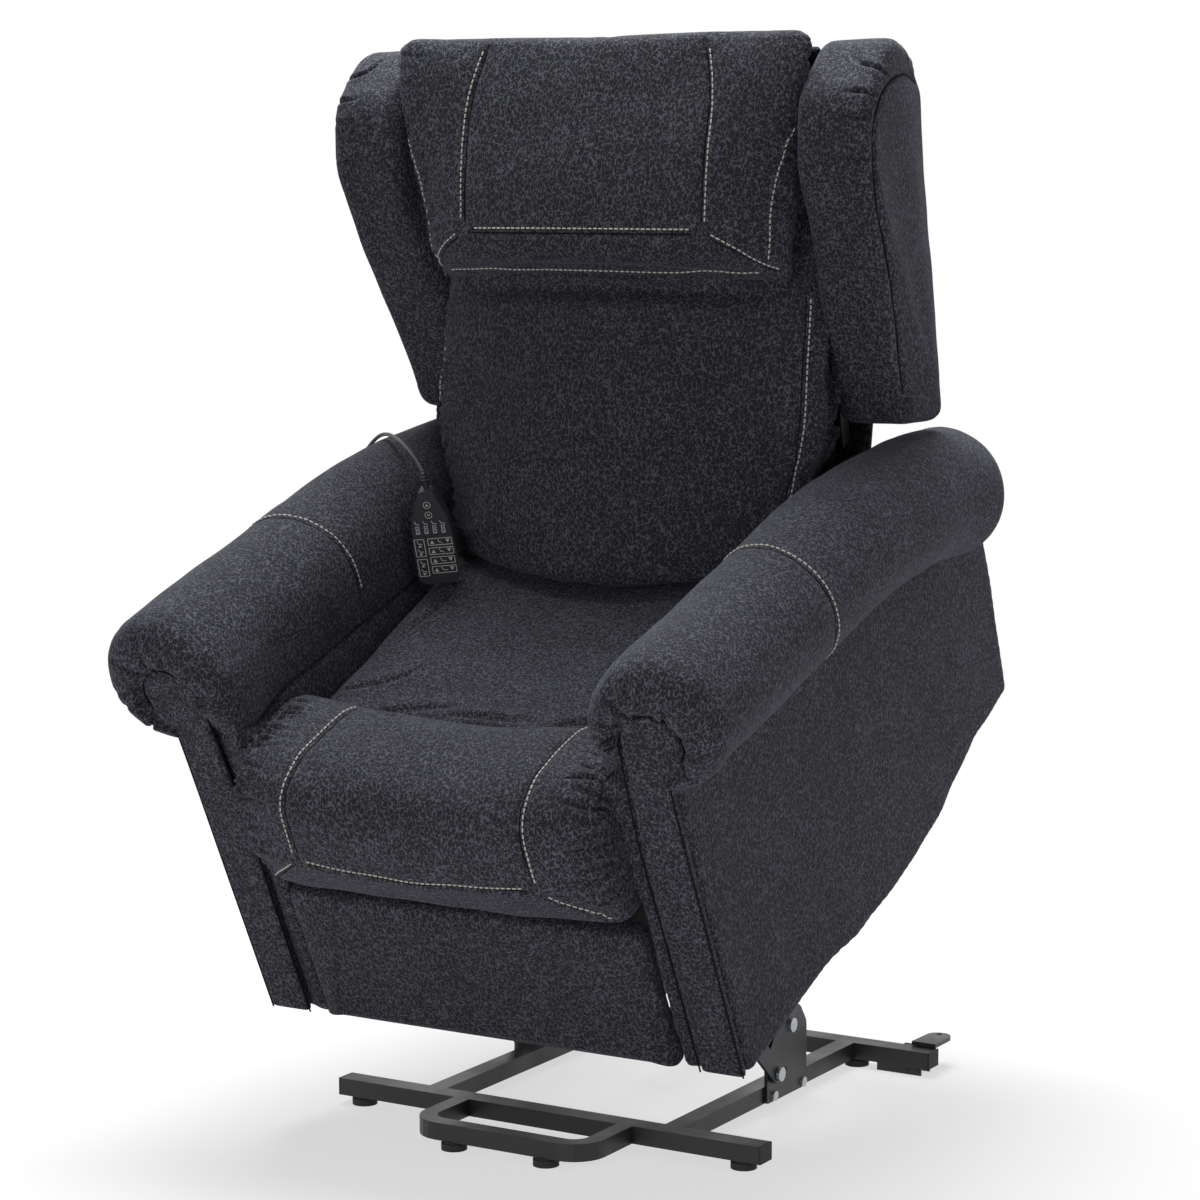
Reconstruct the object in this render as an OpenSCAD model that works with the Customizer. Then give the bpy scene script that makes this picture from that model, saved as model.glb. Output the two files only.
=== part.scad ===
// Lift recliner chair with a wing back, roll arms and an electric lift base.
// World axes: +X to the sitter's left, -Y to the front, +Z up, floor at z = 0.
// The chair stands raised and tilted forward, which is where every joint reads zero.

/* [Base] */
// Length of the front crossbar
front_bar_length = 662; // [560:2:740]
// Length of the rear crossbar
rear_bar_length = 640; // [560:2:740]
// Distance from the front crossbar's front face to the rear crossbar's front face
base_depth = 539; // [520:1:600]
// Width of the crossbar tube, front to back
bar_width = 32; // [28:1:40]
// Height of every base tube
bar_height = 24; // [20:1:28]
// Wall of every base tube
tube_wall = 2; // [1.2:0.2:3]
// Width of a side rail tube
rail_width = 28; // [24:1:34]
// Distance between the outer faces of the two side rails
rail_span = 404; // [380:2:440]
// Height of a rubber foot
foot_height = 12; // [8:1:18]
// Diameter of a rubber foot
foot_diameter = 35; // [28:1:40]
// Outer width of the stability hoop
hoop_width = 282; // [220:2:340]
// Reach of the stability hoop in front of the front crossbar
hoop_reach = 118; // [90:1:150]
// Width of the hoop tube seen from above
hoop_tube = 24; // [18:1:26]
// Outside corner radius of the hoop
hoop_corner = 46; // [34:1:60]

/* [Lift mechanism] */
// Thickness of the upright plates, links and chassis plates
plate_thickness = 5; // [3:0.5:6]
// Height of the lower link pivot above the floor
lower_pivot_z = 52; // [50:1:56]
// Distance of the lower link pivot behind the base front
lower_pivot_y = 280; // [270:1:290]
// Height of the upper link pivot above the floor
upper_pivot_z = 110; // [108:1:114]
// Distance of the upper link pivot behind the base front
upper_pivot_y = 330; // [322:1:336]
// Width of a lift link
link_width = 28; // [24:1:30]
// Radius of a pivot pin
pin_radius = 6; // [5:0.5:7]
// Radial running clearance of a pivot pin
pin_clearance = 0.08; // [0.03:0.01:0.1]
// Outer diameter of the torque tube between the lower links
torque_tube_diameter = 30; // [26:1:32]
// Length of the crank that the lift actuator pulls
crank_length = 110; // [100:1:115]

/* [Chair body] */
// Forward tilt of the raised chair
lift_tilt = 26; // [22:0.5:28]
// Position of the body's lower front edge behind the base front
body_y = -94; // [-110:1:-80]
// Height of the body's lower front edge when raised
body_z = 156; // [150:1:170]
// Width across the outer faces of the two arm panels
body_width = 736; // [720:2:780]
// Width between the arms
seat_width = 576; // [560:2:600]
// Length of the arm panel along its lower edge
arm_length = 887; // [870:1:910]
// Radius of the padded arm roll
roll_radius = 90; // [84:1:92]
// Distance of the roll's axis from the middle of the chair
roll_x = 370; // [366:1:374]
// Height of the roll's axis at the front, above the body's lower edge
roll_front_w = 538; // [530:1:546]
// Drop of the roll's axis from the front to the rear
roll_drop = 177; // [170:1:182]
// Thickness of the scrolled panel on the front of each arm
facing_thickness = 12; // [8:1:16]
// Gap between upholstered parts
soft_gap = 0.5; // [0.3:0.1:1]

/* [Seat and footrest] */
// Height of the seat surface above the body's lower edge
seat_height = 405; // [400:1:412]
// Thickness of the seat cushion
seat_thickness = 104; // [90:1:110]
// Overhang of the front pad in front of the arm panels
pad_overhang = 84; // [70:1:95]
// Height of the front pad's crown above the body's lower edge
pad_crown = 455; // [445:1:462]
// Height of the front pad's lower edge above the body's lower edge
pad_bottom = 254; // [252:1:260]
// Thickness of the padded footrest panel
footrest_thickness = 38; // [30:1:42]
// Width of the footrest panel
footrest_width = 570; // [540:2:572]

/* [Back] */
// Backward lean of the back cushion's face from the body's upright
back_lean = 32.5; // [30:0.5:34]
// Length of the back cushion from the seat to its top
back_length = 742; // [720:1:760]
// Crown of the back cushion's face at its centre
back_crown = 90; // [84:1:100]
// Thickness of a wing
wing_thickness = 106; // [90:1:110]
// Length of the head pillow along the back
pillow_length = 336; // [310:1:345]
// Thickness of the head pillow in front of the back cushion
pillow_swell = 70; // [55:1:80]

/* [Handset] */
// Length of the handset
handset_length = 142; // [130:1:160]
// Widest width of the handset
handset_width = 60; // [54:1:64]
// Thickness of the handset
handset_thickness = 22; // [18:1:26]
// Diameter of the handset cord
cord_diameter = 5.5; // [4:0.5:7]
// Travel of a key
key_travel = 0.8; // [0.5:0.1:1.2]

/* [Hidden] */

$fn = 48;
hull_fn = 32;
cut = 1;

// The world origin stands on the floor under the middle of the raised chair.
origin_y = 154.24;

steel = [0.075, 0.078, 0.085];
zinc = [0.62, 0.63, 0.65];
rubber = [0.05, 0.05, 0.055];
plastic = [0.12, 0.12, 0.13];
key_grey = [0.2, 0.21, 0.22];
fabric = [0.15, 0.155, 0.185];
lining = [0.07, 0.07, 0.08];
timber = [0.72, 0.6, 0.42];

bar_z0 = foot_height;
bar_z1 = bar_z0 + bar_height;
rail_inner_x = rail_span / 2 - rail_width;
rail_outer_x = rail_span / 2;
rail_length = base_depth - bar_width;
rear_face_y = base_depth + bar_width;
panel_x = body_width / 2;
inner_x = seat_width / 2;
back_u = 423;
back_w = 423;
recline_u = 700;
recline_w = 170;
soft_x = inner_x - soft_gap;
back_x = roll_x - roll_radius - 2 * soft_gap;

// ---------- helper functions ----------

function unit(v) = v / norm(v);

// Points of a fillet of radius r at corner b between a and c.
function fillet(a, b, c, r, n) =
    let (p = unit(a - b), q = unit(c - b), half = acos(p * q) / 2,
        centre = b + unit(p + q) * r / sin(half),
        start = b + p * r / tan(half) - centre,
        end = b + q * r / tan(half) - centre,
        a0 = atan2(start[1], start[0]),
        turn = atan2(start[0] * end[1] - start[1] * end[0], start * end))
    [for (i = [0:n]) centre + r * [cos(a0 + turn * i / n), sin(a0 + turn * i / n)]];

// Closed outline whose corners are rounded: each entry is [x, y, radius].
function rounded(p, n = 6) = [for (i = [0:len(p) - 1])
    let (b = [p[i][0], p[i][1]],
        prev = p[(i + len(p) - 1) % len(p)],
        next = p[(i + 1) % len(p)])
    for (q = p[i][2] > 0
        ? fillet([prev[0], prev[1]], b, [next[0], next[1]], p[i][2], n)
        : [b]) q];

// ---------- frames ----------

module on_base() {
    translate([0, -origin_y, 0]) children();
}

module on_chair() {
    on_base() translate([0, body_y, body_z]) rotate([lift_tilt, 0, 0]) children();
}

module on_back() {
    on_chair() translate([0, back_u, back_w]) rotate([-back_lean, 0, 0]) children();
}

// Extrudes an outline drawn in (front-to-back, up) between two x positions.
module along_x(x0, x1) {
    translate([x0, 0, 0]) rotate([90, 0, 90]) linear_extrude(x1 - x0) children();
}

// A cylinder along X from x0 to x1 whose axis passes through (y, z).
module rod_x(x0, x1, y, z, r) {
    translate([x0, y, z]) rotate([0, 90, 0]) cylinder(h = x1 - x0, r = r);
}

// A flat strap from one point to another, with a round end at the second.
function strap_outline(from, to, r) =
    let (d = (to - from) / norm(to - from), n = r * [-d[1], d[0]], tip = to + r * d)
    [[from[0] - n[0], from[1] - n[1], 0], [tip[0] - n[0], tip[1] - n[1], r - 0.1],
        [tip[0] + n[0], tip[1] + n[1], r - 0.1], [from[0] + n[0], from[1] + n[1], 0]];

module strap(x0, x1, from, to, r) {
    along_x(x0, x1) polygon(rounded(strap_outline(from, to, r)));
}

module both_sides() {
    children();
    mirror([1, 0, 0]) children();
}

// ---------- base ----------

module box_tube(length, width, height) {
    difference() {
        translate([-length / 2, 0, 0]) cube([length, width, height]);
        translate([-length / 2 - cut, tube_wall, tube_wall])
            cube([length + 2 * cut, width - 2 * tube_wall, height - 2 * tube_wall]);
    }
}

module front_crossbar() {
    color(steel) on_base() translate([0, 0, bar_z0]) box_tube(front_bar_length, bar_width, bar_height);
}

module rear_crossbar() {
    color(steel) on_base() translate([0, base_depth, bar_z0])
        box_tube(rear_bar_length, bar_width, bar_height);
}

module side_rail() {
    translate([rail_outer_x - rail_width / 2, bar_width + rail_length / 2, bar_z0])
        rotate([0, 0, 90]) translate([0, -rail_width / 2, 0])
        box_tube(rail_length, rail_width, bar_height);
}

module side_rail_left() {
    color(steel) on_base() side_rail();
}

module side_rail_right() {
    color(steel) on_base() mirror([1, 0, 0]) side_rail();
}

module stability_hoop() {
    w = hoop_width / 2;
    outline = [[-w, 0, 0], [-w, -hoop_reach, hoop_corner],
        [w, -hoop_reach, hoop_corner], [w, 0, 0]];
    v = w - hoop_tube;
    inside = [[-v, cut, 0], [-v, hoop_tube - hoop_reach, hoop_corner - hoop_tube],
        [v, hoop_tube - hoop_reach, hoop_corner - hoop_tube], [v, cut, 0]];
    color(steel) on_base() translate([0, 0, bar_z0]) linear_extrude(bar_height) difference() {
        polygon(rounded(outline));
        polygon(rounded(inside));
    }
}

// Places of the two bolts that fix an upright plate to its rail.
plate_bolt_y = [lower_pivot_y - 1, lower_pivot_y + 86];
plate_bolt_z = bar_z0 + 8;
plate_front_y = lower_pivot_y - 20;
plate_rear_y = lower_pivot_y + 98;
plate_top_z = upper_pivot_z + 26;
bolt_radius = 4;

module upright_plate() {
    outline = [[plate_front_y, bar_z0, 3], [plate_rear_y, bar_z0, 3],
        [plate_rear_y, plate_top_z - 30, 20], [upper_pivot_y + 26, plate_top_z, 20],
        [upper_pivot_y - 26, plate_top_z, 20], [plate_front_y, lower_pivot_z + 24, 18]];
    difference() {
        along_x(rail_outer_x, rail_outer_x + plate_thickness) polygon(rounded(outline));
        rod_x(rail_outer_x - cut, rail_outer_x + plate_thickness + cut,
            lower_pivot_y, lower_pivot_z, pin_radius + pin_clearance);
        rod_x(rail_outer_x - cut, rail_outer_x + plate_thickness + cut,
            upper_pivot_y, upper_pivot_z, pin_radius + pin_clearance);
        rod_x(rail_outer_x - cut, rail_outer_x + plate_thickness + cut,
            lower_pivot_y + 34, lower_pivot_z - 3, bolt_radius);
    }
}

module upright_plate_left() {
    color(steel) on_base() upright_plate();
}

module upright_plate_right() {
    color(steel) on_base() mirror([1, 0, 0]) upright_plate();
}

front_foot_x = front_bar_length / 2 - 30;
hoop_foot_x = 72;
hoop_foot_y = hoop_tube / 2 - hoop_reach;
rear_foot_x = 200;

module foot() {
    rotate_extrude() union() {
        square([foot_diameter / 2, foot_height - 3]);
        square([foot_diameter / 2 - 3, foot_height]);
    }
}

module rubber_feet() {
    color(rubber) on_base() both_sides() {
        translate([front_foot_x, bar_width / 2, 0]) foot();
        translate([hoop_foot_x, hoop_foot_y, 0]) foot();
        translate([rear_foot_x, base_depth + bar_width / 2, 0]) foot();
    }
}

module end_cap() {
    translate([0, tube_wall, tube_wall])
        cube([12, bar_width - 2 * tube_wall, bar_height - 2 * tube_wall]);
    translate([12, 0, 0]) cube([3, bar_width, bar_height]);
}

module tube_end_caps() {
    color(rubber) on_base() both_sides() {
        translate([front_bar_length / 2 - 12, 0, bar_z0]) end_cap();
        translate([rear_bar_length / 2 - 12, base_depth, bar_z0]) end_cap();
    }
}

plate_face_x = rail_outer_x + plate_thickness;
link_gap = 2;
link_x0 = plate_face_x + link_gap;
link_x1 = link_x0 + plate_thickness;
upper_link_x1 = rail_outer_x - link_gap;
upper_link_x0 = upper_link_x1 - plate_thickness;

// Fixing screws of the plates, and the shoulder bolts of the four base pivots.
module frame_bolts() {
    color(zinc) on_base() both_sides() {
        for (y = plate_bolt_y) {
            rod_x(plate_face_x, plate_face_x + 4, y, plate_bolt_z, 7);
        }
        rod_x(rail_outer_x, link_x1 + 1, lower_pivot_y, lower_pivot_z, pin_radius);
        rod_x(link_x1 + 1, link_x1 + 6, lower_pivot_y, lower_pivot_z, 10);
        rod_x(upper_link_x0 - 1, plate_face_x, upper_pivot_y, upper_pivot_z, pin_radius);
        rod_x(plate_face_x, plate_face_x + 5, upper_pivot_y, upper_pivot_z, 10);
        rod_x(upper_link_x0 - 5, upper_link_x0 - 1, upper_pivot_y, upper_pivot_z, 10);
    }
}

// ---------- lift actuator geometry ----------

clevis_y = base_depth - 14;
clevis_z = 70;
crank_angle = 60;
crank_y = lower_pivot_y + crank_length * cos(crank_angle);
crank_z = lower_pivot_z + crank_length * sin(crank_angle);
actuator_length = norm([crank_y - clevis_y, crank_z - clevis_z]);
actuator_angle = atan2(crank_z - clevis_z, clevis_y - crank_y);
actuator_pin = 5;
eye_play = 5.6;
clevis_half = 14;

module motor_clevis() {
    color(steel) on_base() {
        for (x = [-clevis_half - 4, clevis_half]) {
            along_x(x, x + 4) polygon(rounded([[clevis_y - 16, clevis_z - 22, 6],
                [base_depth, bar_z0 + 2, 0], [base_depth, bar_z1 - 2, 0],
                [clevis_y + 13, clevis_z + 14, 10], [clevis_y - 16, clevis_z + 14, 10]]));
        }
        rod_x(-clevis_half - 8, clevis_half + 8, clevis_y, clevis_z, actuator_pin);
    }
}

// Actuator frame: origin at the clevis pin, -Y along the rod towards the crank.
module on_actuator() {
    on_base() translate([0, clevis_y, clevis_z]) rotate([-actuator_angle, 0, 0]) children();
}

rod_radius = 8;
rod_bore = rod_radius + pin_clearance;

// Gear housing with its tail eye, the motor beside it and the outer tube: +Y is the rod's way.
module actuator_body(tube_length) {
    difference() {
        union() {
            rod_x(-12, 12, 0, 0, 12);
            translate([-10, 0, -10]) cube([20, 24, 20]);
            translate([-20, 22, -18]) cube([40, 34, 52]);
            translate([0, 18, 34]) rotate([-90, 0, 0]) cylinder(h = 72, r = 19);
            rotate([-90, 0, 0]) cylinder(h = tube_length, r = 14);
        }
        rod_x(-21, 21, 0, 0, actuator_pin + pin_clearance);
        translate([0, 58, 0]) rotate([-90, 0, 0]) cylinder(h = tube_length, r = rod_bore);
        translate([-21, -20, -13]) cube([9, 34, 26]);
        translate([12, -20, -13]) cube([9, 34, 26]);
    }
}

// Rod that leaves the outer tube and ends in an eye, which a slot can lengthen across it.
module actuator_rod(start, length, play, slot) {
    hole = actuator_pin + play;
    eye = hole + 4;
    difference() {
        union() {
            translate([0, start, 0]) rotate([-90, 0, 0])
                cylinder(h = length - hole - 2 - start, r = rod_radius);
            slot_block(length, eye, slot, 8);
        }
        if (slot > 0) slot_block(length, hole, slot, 9);
        else rod_x(-9, 9, length, 0, hole);
    }
}

// Upright block with round ends, centred on the rod's end.
module slot_block(y, r, slot, x) {
    along_x(-x, x) polygon(rounded([[y - r, -slot - r, r - 0.1], [y + r, -slot - r, r - 0.1],
        [y + r, slot + r, r - 0.1], [y - r, slot + r, r - 0.1]]));
}

module lift_motor() {
    color(plastic) on_actuator() mirror([0, 1, 0]) actuator_body(120);
}

module lift_rod() {
    color(zinc) on_actuator() mirror([0, 1, 0]) actuator_rod(62, actuator_length, eye_play, 0);
}

// ---------- lift links ----------

// Places in the chair's own frame of the two link pivots.
lower_pin_u = 168.8;
lower_pin_w = 30;
upper_pin_u = 201.6;
upper_pin_w = 60;
open_play = 3.5;

function chair_y(u, w) = body_y + u * cos(lift_tilt) - w * sin(lift_tilt);
function chair_z(u, w) = body_z + u * sin(lift_tilt) + w * cos(lift_tilt);

// A flat bar with round ends between two bores.
module bar_link(y0, z0, y1, z1, x0, x1, bore0, bore1) {
    r = link_width / 2;
    end = norm([y1 - y0, z1 - z0]) + r;
    difference() {
        translate([0, y0, z0]) rotate([atan2(z1 - z0, y1 - y0), 0, 0]) along_x(x0, x1)
            polygon(rounded([[-r, -r, r - 0.1], [end, -r, r - 0.1], [end, r, r - 0.1],
                [-r, r, r - 0.1]]));
        rod_x(x0 - cut, x1 + cut, y0, z0, bore0);
        rod_x(x0 - cut, x1 + cut, y1, z1, bore1);
    }
}

module lower_link() {
    bar_link(lower_pivot_y, lower_pivot_z,
        chair_y(lower_pin_u, lower_pin_w), chair_z(lower_pin_u, lower_pin_w),
        link_x0, link_x1, pin_radius + pin_clearance, pin_radius + pin_clearance);
}

module lower_link_left() {
    color(steel) on_base() lower_link();
}

module lower_link_right() {
    color(steel) on_base() mirror([1, 0, 0]) lower_link();
}

module upper_link() {
    bar_link(upper_pivot_y, upper_pivot_z,
        chair_y(upper_pin_u, upper_pin_w), chair_z(upper_pin_u, upper_pin_w),
        upper_link_x0, upper_link_x1, pin_radius + pin_clearance, pin_radius + open_play);
}

module upper_link_left() {
    color(steel) on_base() upper_link();
}

module upper_link_right() {
    color(steel) on_base() mirror([1, 0, 0]) upper_link();
}

tube_along = 0.42;
torque_y = lower_pivot_y + tube_along * (chair_y(lower_pin_u, lower_pin_w) - lower_pivot_y);
torque_z = lower_pivot_z + tube_along * (chair_z(lower_pin_u, lower_pin_w) - lower_pivot_z);

// Cross tube welded between the two lower links, with the crank plates at its middle.
module torque_tube() {
    color(steel) on_base() difference() {
        union() {
            rod_x(-link_x0, link_x0, torque_y, torque_z, torque_tube_diameter / 2);
            for (x = [-15, 11]) {
                strap(x, x + 4, [torque_y, torque_z], [crank_y, crank_z], 13);
            }
            rod_x(-18, 18, crank_y, crank_z, actuator_pin);
        }
    }
}

// ---------- chair chassis ----------

chassis_x0 = link_x1 + 3;
chassis_x1 = chassis_x0 + plate_thickness;
frame_w0 = seat_height - seat_thickness - 42;

module chassis_side() {
    outline = [[18, 150, 8], [60, 120, 30], [100, 14, 20], [330, 14, 10], [736, 34, 14],
        [760, 120, 20], [recline_u + 34, recline_w + 30, 20],
        [recline_u - 50, recline_w + 36, 30], [580, frame_w0, 10],
        [540, frame_w0, 10], [500, 150, 40], [160, 150, 40], [110, frame_w0, 10],
        [70, frame_w0, 8], [70, 206, 20], [18, 206, 8]];
    difference() {
        union() {
            along_x(chassis_x0, chassis_x1) polygon(rounded(outline));
            rod_x(link_x0 - 1, chassis_x0, lower_pin_u, lower_pin_w, pin_radius);
            rod_x(upper_link_x0 - 1, chassis_x0, upper_pin_u, upper_pin_w, pin_radius);
        }
        rod_x(chassis_x0 - cut, chassis_x1 + cut, recline_u, recline_w,
            pin_radius + pin_clearance);
        rod_x(chassis_x0 - cut, chassis_x1 + cut, footrest_u, footrest_w,
            footrest_pin + pin_clearance);
    }
}

module chassis_side_left() {
    color(steel) on_chair() chassis_side();
}

module chassis_side_right() {
    color(steel) on_chair() mirror([1, 0, 0]) chassis_side();
}

front_tube = [92, 222];
middle_tube = [550, 192];
rear_tube = [738, 132];
cross_tube_radius = 12;
recline_anchor = [112, 188];
recline_x = 124;
leg_anchor = [486, 160];
leg_x = -70;

// A pair of ears from a cross tube to an actuator's tail pin.
module anchor_ears(x, tube, anchor) {
    for (x0 = [x - 17, x + 13]) {
        strap(x0, x0 + 4, tube, anchor, 11);
    }
    rod_x(x - 19, x + 19, anchor[0], anchor[1], actuator_pin);
}

module chassis_cross_tubes() {
    color(steel) on_chair() {
        for (p = [front_tube, middle_tube, rear_tube]) {
            rod_x(-chassis_x0, chassis_x0, p[0], p[1], cross_tube_radius);
        }
        anchor_ears(recline_x, front_tube, recline_anchor);
        anchor_ears(leg_x, middle_tube, leg_anchor);
    }
}

seat_rear_u = 600;
seat_front_u = 128;

// Timber seat frame with an open middle for the springs.
module seat_frame() {
    color(timber) on_chair() difference() {
        translate([-soft_x, 30, frame_w0]) cube([2 * soft_x, seat_rear_u - 50, 40]);
        translate([-soft_x + 48, 90, frame_w0 - cut])
            cube([2 * soft_x - 96, seat_rear_u - 170, 40 + 2 * cut]);
    }
}

spring_count = 5;

// Wire springs that cross the seat frame from front to back.
module seat_springs() {
    color(zinc) on_chair() for (i = [0:spring_count - 1]) {
        x = (i - (spring_count - 1) / 2) * 92;
        translate([x, 90, frame_w0 + 30]) rotate([-90, 0, 0])
            cylinder(h = seat_rear_u - 170, r = 2, $fn = 16);
    }
}

module seat_cushion() {
    outline = [[seat_front_u, seat_height - seat_thickness, 12],
        [seat_rear_u, seat_height - seat_thickness, 20],
        [seat_rear_u - 30, seat_height, 40],
        [seat_front_u, seat_height, 10]];
    color(fabric) on_chair() along_x(-soft_x, soft_x) polygon(rounded(outline));
}

module front_pad() {
    outline = [[-40, pad_bottom, 40], [-pad_overhang, 320, 60], [-pad_overhang, 425, 70],
        [-20, pad_crown, 60], [90, pad_crown, 50], [seat_front_u - soft_gap, 410, 12],
        [seat_front_u - soft_gap, frame_w0 + 42, 0], [24, frame_w0 + 42, 0],
        [24, pad_bottom, 0]];
    color(fabric) on_chair() along_x(-soft_x, soft_x) polygon(rounded(outline));
}

// ---------- arms ----------

// Axis of the padded roll, from front to back: it stays nearly level, then droops.
roll_axis = [for (p = [[40, 0], [500, 0.3], [700, 0.59], [arm_length + 8, 1]])
    [p[0], roll_front_w - p[1] * roll_drop]];
roll_sink = 14;

// Top edge of the arm panel, hidden in the roll and raised by g.
function arm_top(g) = [for (i = [len(roll_axis) - 1:-1:0])
    roll_axis[i] + [0, roll_sink - roll_radius + g]];

module arm_body() {
    rear_w = roll_axis[3][1] - roll_radius + 8;
    front_w = roll_axis[0][1] - roll_radius + roll_sink;
    outline = concat([[0, 0, 8], [arm_length, 0, 8], [arm_length + 24, rear_w, 0]],
        [for (p = arm_top(0)) [p[0], p[1], 0]], [[0, front_w, 0]]);
    along_x(inner_x, panel_x) polygon(rounded(outline));
}

module arm_body_left() {
    color(fabric) on_chair() arm_body();
}

module arm_body_right() {
    color(fabric) on_chair() mirror([1, 0, 0]) arm_body();
}

// Stuffing that fills the corner between the roll and the inner face of the arm panel.
module roll_corner(u, w) {
    translate([inner_x, u, w + roll_sink - roll_radius + 2 * soft_gap]) cube([12, 1, 1]);
}

// Padded roll: a rounded front, and balls that follow its axis to the rear end.
module roll_solid() {
    edge = 40;
    front = 41;
    hull() {
        roll_corner(2, roll_front_w);
        roll_corner(roll_axis[1][0], roll_axis[1][1]);
        translate([roll_x, edge, roll_front_w]) rotate([90, 0, 0])
            rotate_extrude($fn = hull_fn) {
                square([roll_radius - edge, edge + front]);
                square([roll_radius, front]);
                translate([roll_radius - edge, front]) intersection() {
                    circle(edge);
                    square(edge);
                }
            }
        translate([roll_x, roll_axis[1][0], roll_axis[1][1]])
            sphere(roll_radius, $fn = hull_fn);
    }
    hull() {
        for (p = [for (i = [1:3]) roll_axis[i]]) {
            translate([roll_x, p[0], p[1]]) sphere(roll_radius, $fn = hull_fn);
        }
    }
}

facing_lobe = 44;
facing_x = panel_x - 10;
facing_lobe_w = roll_front_w - 25;

module facing_outline(grow) {
    translate([facing_x, facing_lobe_w]) circle(facing_lobe + grow);
    polygon([[inner_x - grow, 4 - grow], [panel_x + grow, 4 - grow],
        [panel_x + grow, facing_lobe_w - 60], [facing_x, facing_lobe_w],
        [facing_x - facing_lobe - grow, facing_lobe_w],
        [facing_x - facing_lobe - grow, facing_lobe_w - 120]]);
}

module facing_plate(depth, grow) {
    translate([0, -soft_gap, 0]) rotate([90, 0, 0]) linear_extrude(depth) facing_outline(grow);
}

module arm_roll() {
    difference() {
        roll_solid();
        along_x(inner_x - soft_gap, panel_x + soft_gap)
            polygon(concat([[-60, 0], [arm_length + 110, 0],
                [arm_length + 110, roll_axis[3][1] + roll_sink - roll_radius - 30]],
                arm_top(soft_gap), [[-60, roll_axis[0][1] + roll_sink - roll_radius]]));
        facing_plate(60, 1);
    }
}

module arm_roll_left() {
    color(fabric) on_chair() arm_roll();
}

module arm_roll_right() {
    color(fabric) on_chair() mirror([1, 0, 0]) arm_roll();
}

module arm_facing_left() {
    color(fabric) on_chair() facing_plate(facing_thickness, 0);
}

module arm_facing_right() {
    color(fabric) on_chair() mirror([1, 0, 0]) facing_plate(facing_thickness, 0);
}

module rear_panel() {
    color(lining) on_chair() translate([-soft_x, arm_length - 14, 20])
        cube([2 * soft_x, 10, 210]);
}

box_u = 590;
box_w = 92;
gland_x = -180;

// Power box on the inner face of the right chassis plate, with the cord gland underneath.
module power_box() {
    color(plastic) on_chair() {
        translate([-chassis_x0, box_u - 28, box_w]) cube([100, 56, 36]);
        translate([gland_x, box_u, box_w - 8]) cylinder(h = 8, r = 7);
    }
}

// ---------- footrest ----------

footrest_u = 30;
footrest_w = 195;
footrest_pin = 4;
footrest_front_u = -22;
footrest_rear_u = footrest_front_u + footrest_thickness;
footrest_top_w = 226;
arm_plate_x1 = chassis_x0 - 1;
arm_plate_x0 = arm_plate_x1 - 4;
leg_lever = [34, -37];

module footrest_panel() {
    w = footrest_width / 2;
    outline = [[footrest_front_u, 4, 14], [footrest_rear_u, 4, 10],
        [footrest_rear_u, footrest_top_w, 10], [footrest_front_u, footrest_top_w, 14]];
    color(fabric) on_chair() along_x(-w, w) polygon(rounded(outline));
}

// Steel arms on the panel's back, the cross tube on the hinge line and its lever.
module footrest_arms() {
    color(steel) on_chair() {
        both_sides() {
            along_x(arm_plate_x0, arm_plate_x1)
                polygon(rounded([[footrest_rear_u, 50, 0], [footrest_rear_u + 10, 50, 3],
                    [footrest_u + 13, footrest_w - 12, 8], [footrest_u + 10, footrest_w + 12, 6],
                    [footrest_rear_u, footrest_w + 12, 0]]));
            rod_x(arm_plate_x1, chassis_x1, footrest_u, footrest_w, footrest_pin);
        }
        rod_x(-arm_plate_x0, arm_plate_x0, footrest_u, footrest_w, 9);
        for (x0 = [leg_x - 13, leg_x + 9]) {
            strap(x0, x0 + 4, [footrest_u, footrest_w],
                [footrest_u + leg_lever[0], footrest_w + leg_lever[1]], 8);
        }
        rod_x(leg_x - 15, leg_x + 15, footrest_u + leg_lever[0], footrest_w + leg_lever[1],
            actuator_pin);
    }
}

// ---------- recline and leg actuators ----------

lever_u = recline_u - 20;
lever_w = recline_w - 110;
recline_play = 7.6;
leg_play = 1.8;
leg_slot = 14;

// Frame with its origin at an anchor pin and +Y towards the driven pin.
module towards(x, from, to) {
    on_chair() translate([x, from[0], from[1]])
        rotate([atan2(to[1] - from[1], to[0] - from[0]), 0, 0]) children();
}

recline_target = [lever_u, lever_w];
leg_target = [footrest_u + leg_lever[0], footrest_w + leg_lever[1]];

module recline_motor() {
    color(plastic) towards(recline_x, recline_anchor, recline_target) mirror([0, 0, 1])
        actuator_body(330);
}

module recline_rod() {
    color(zinc) towards(recline_x, recline_anchor, recline_target)
        actuator_rod(150, norm(recline_target - recline_anchor), recline_play, 0);
}

module leg_motor() {
    color(plastic) towards(leg_x, leg_anchor, leg_target) actuator_body(290);
}

module leg_rod() {
    color(zinc) towards(leg_x, leg_anchor, leg_target)
        actuator_rod(110, norm(leg_target - leg_anchor), leg_play, leg_slot);
}

// ---------- back ----------

bracket_x0 = chassis_x1 + 2;
post_width = 25;

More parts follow.
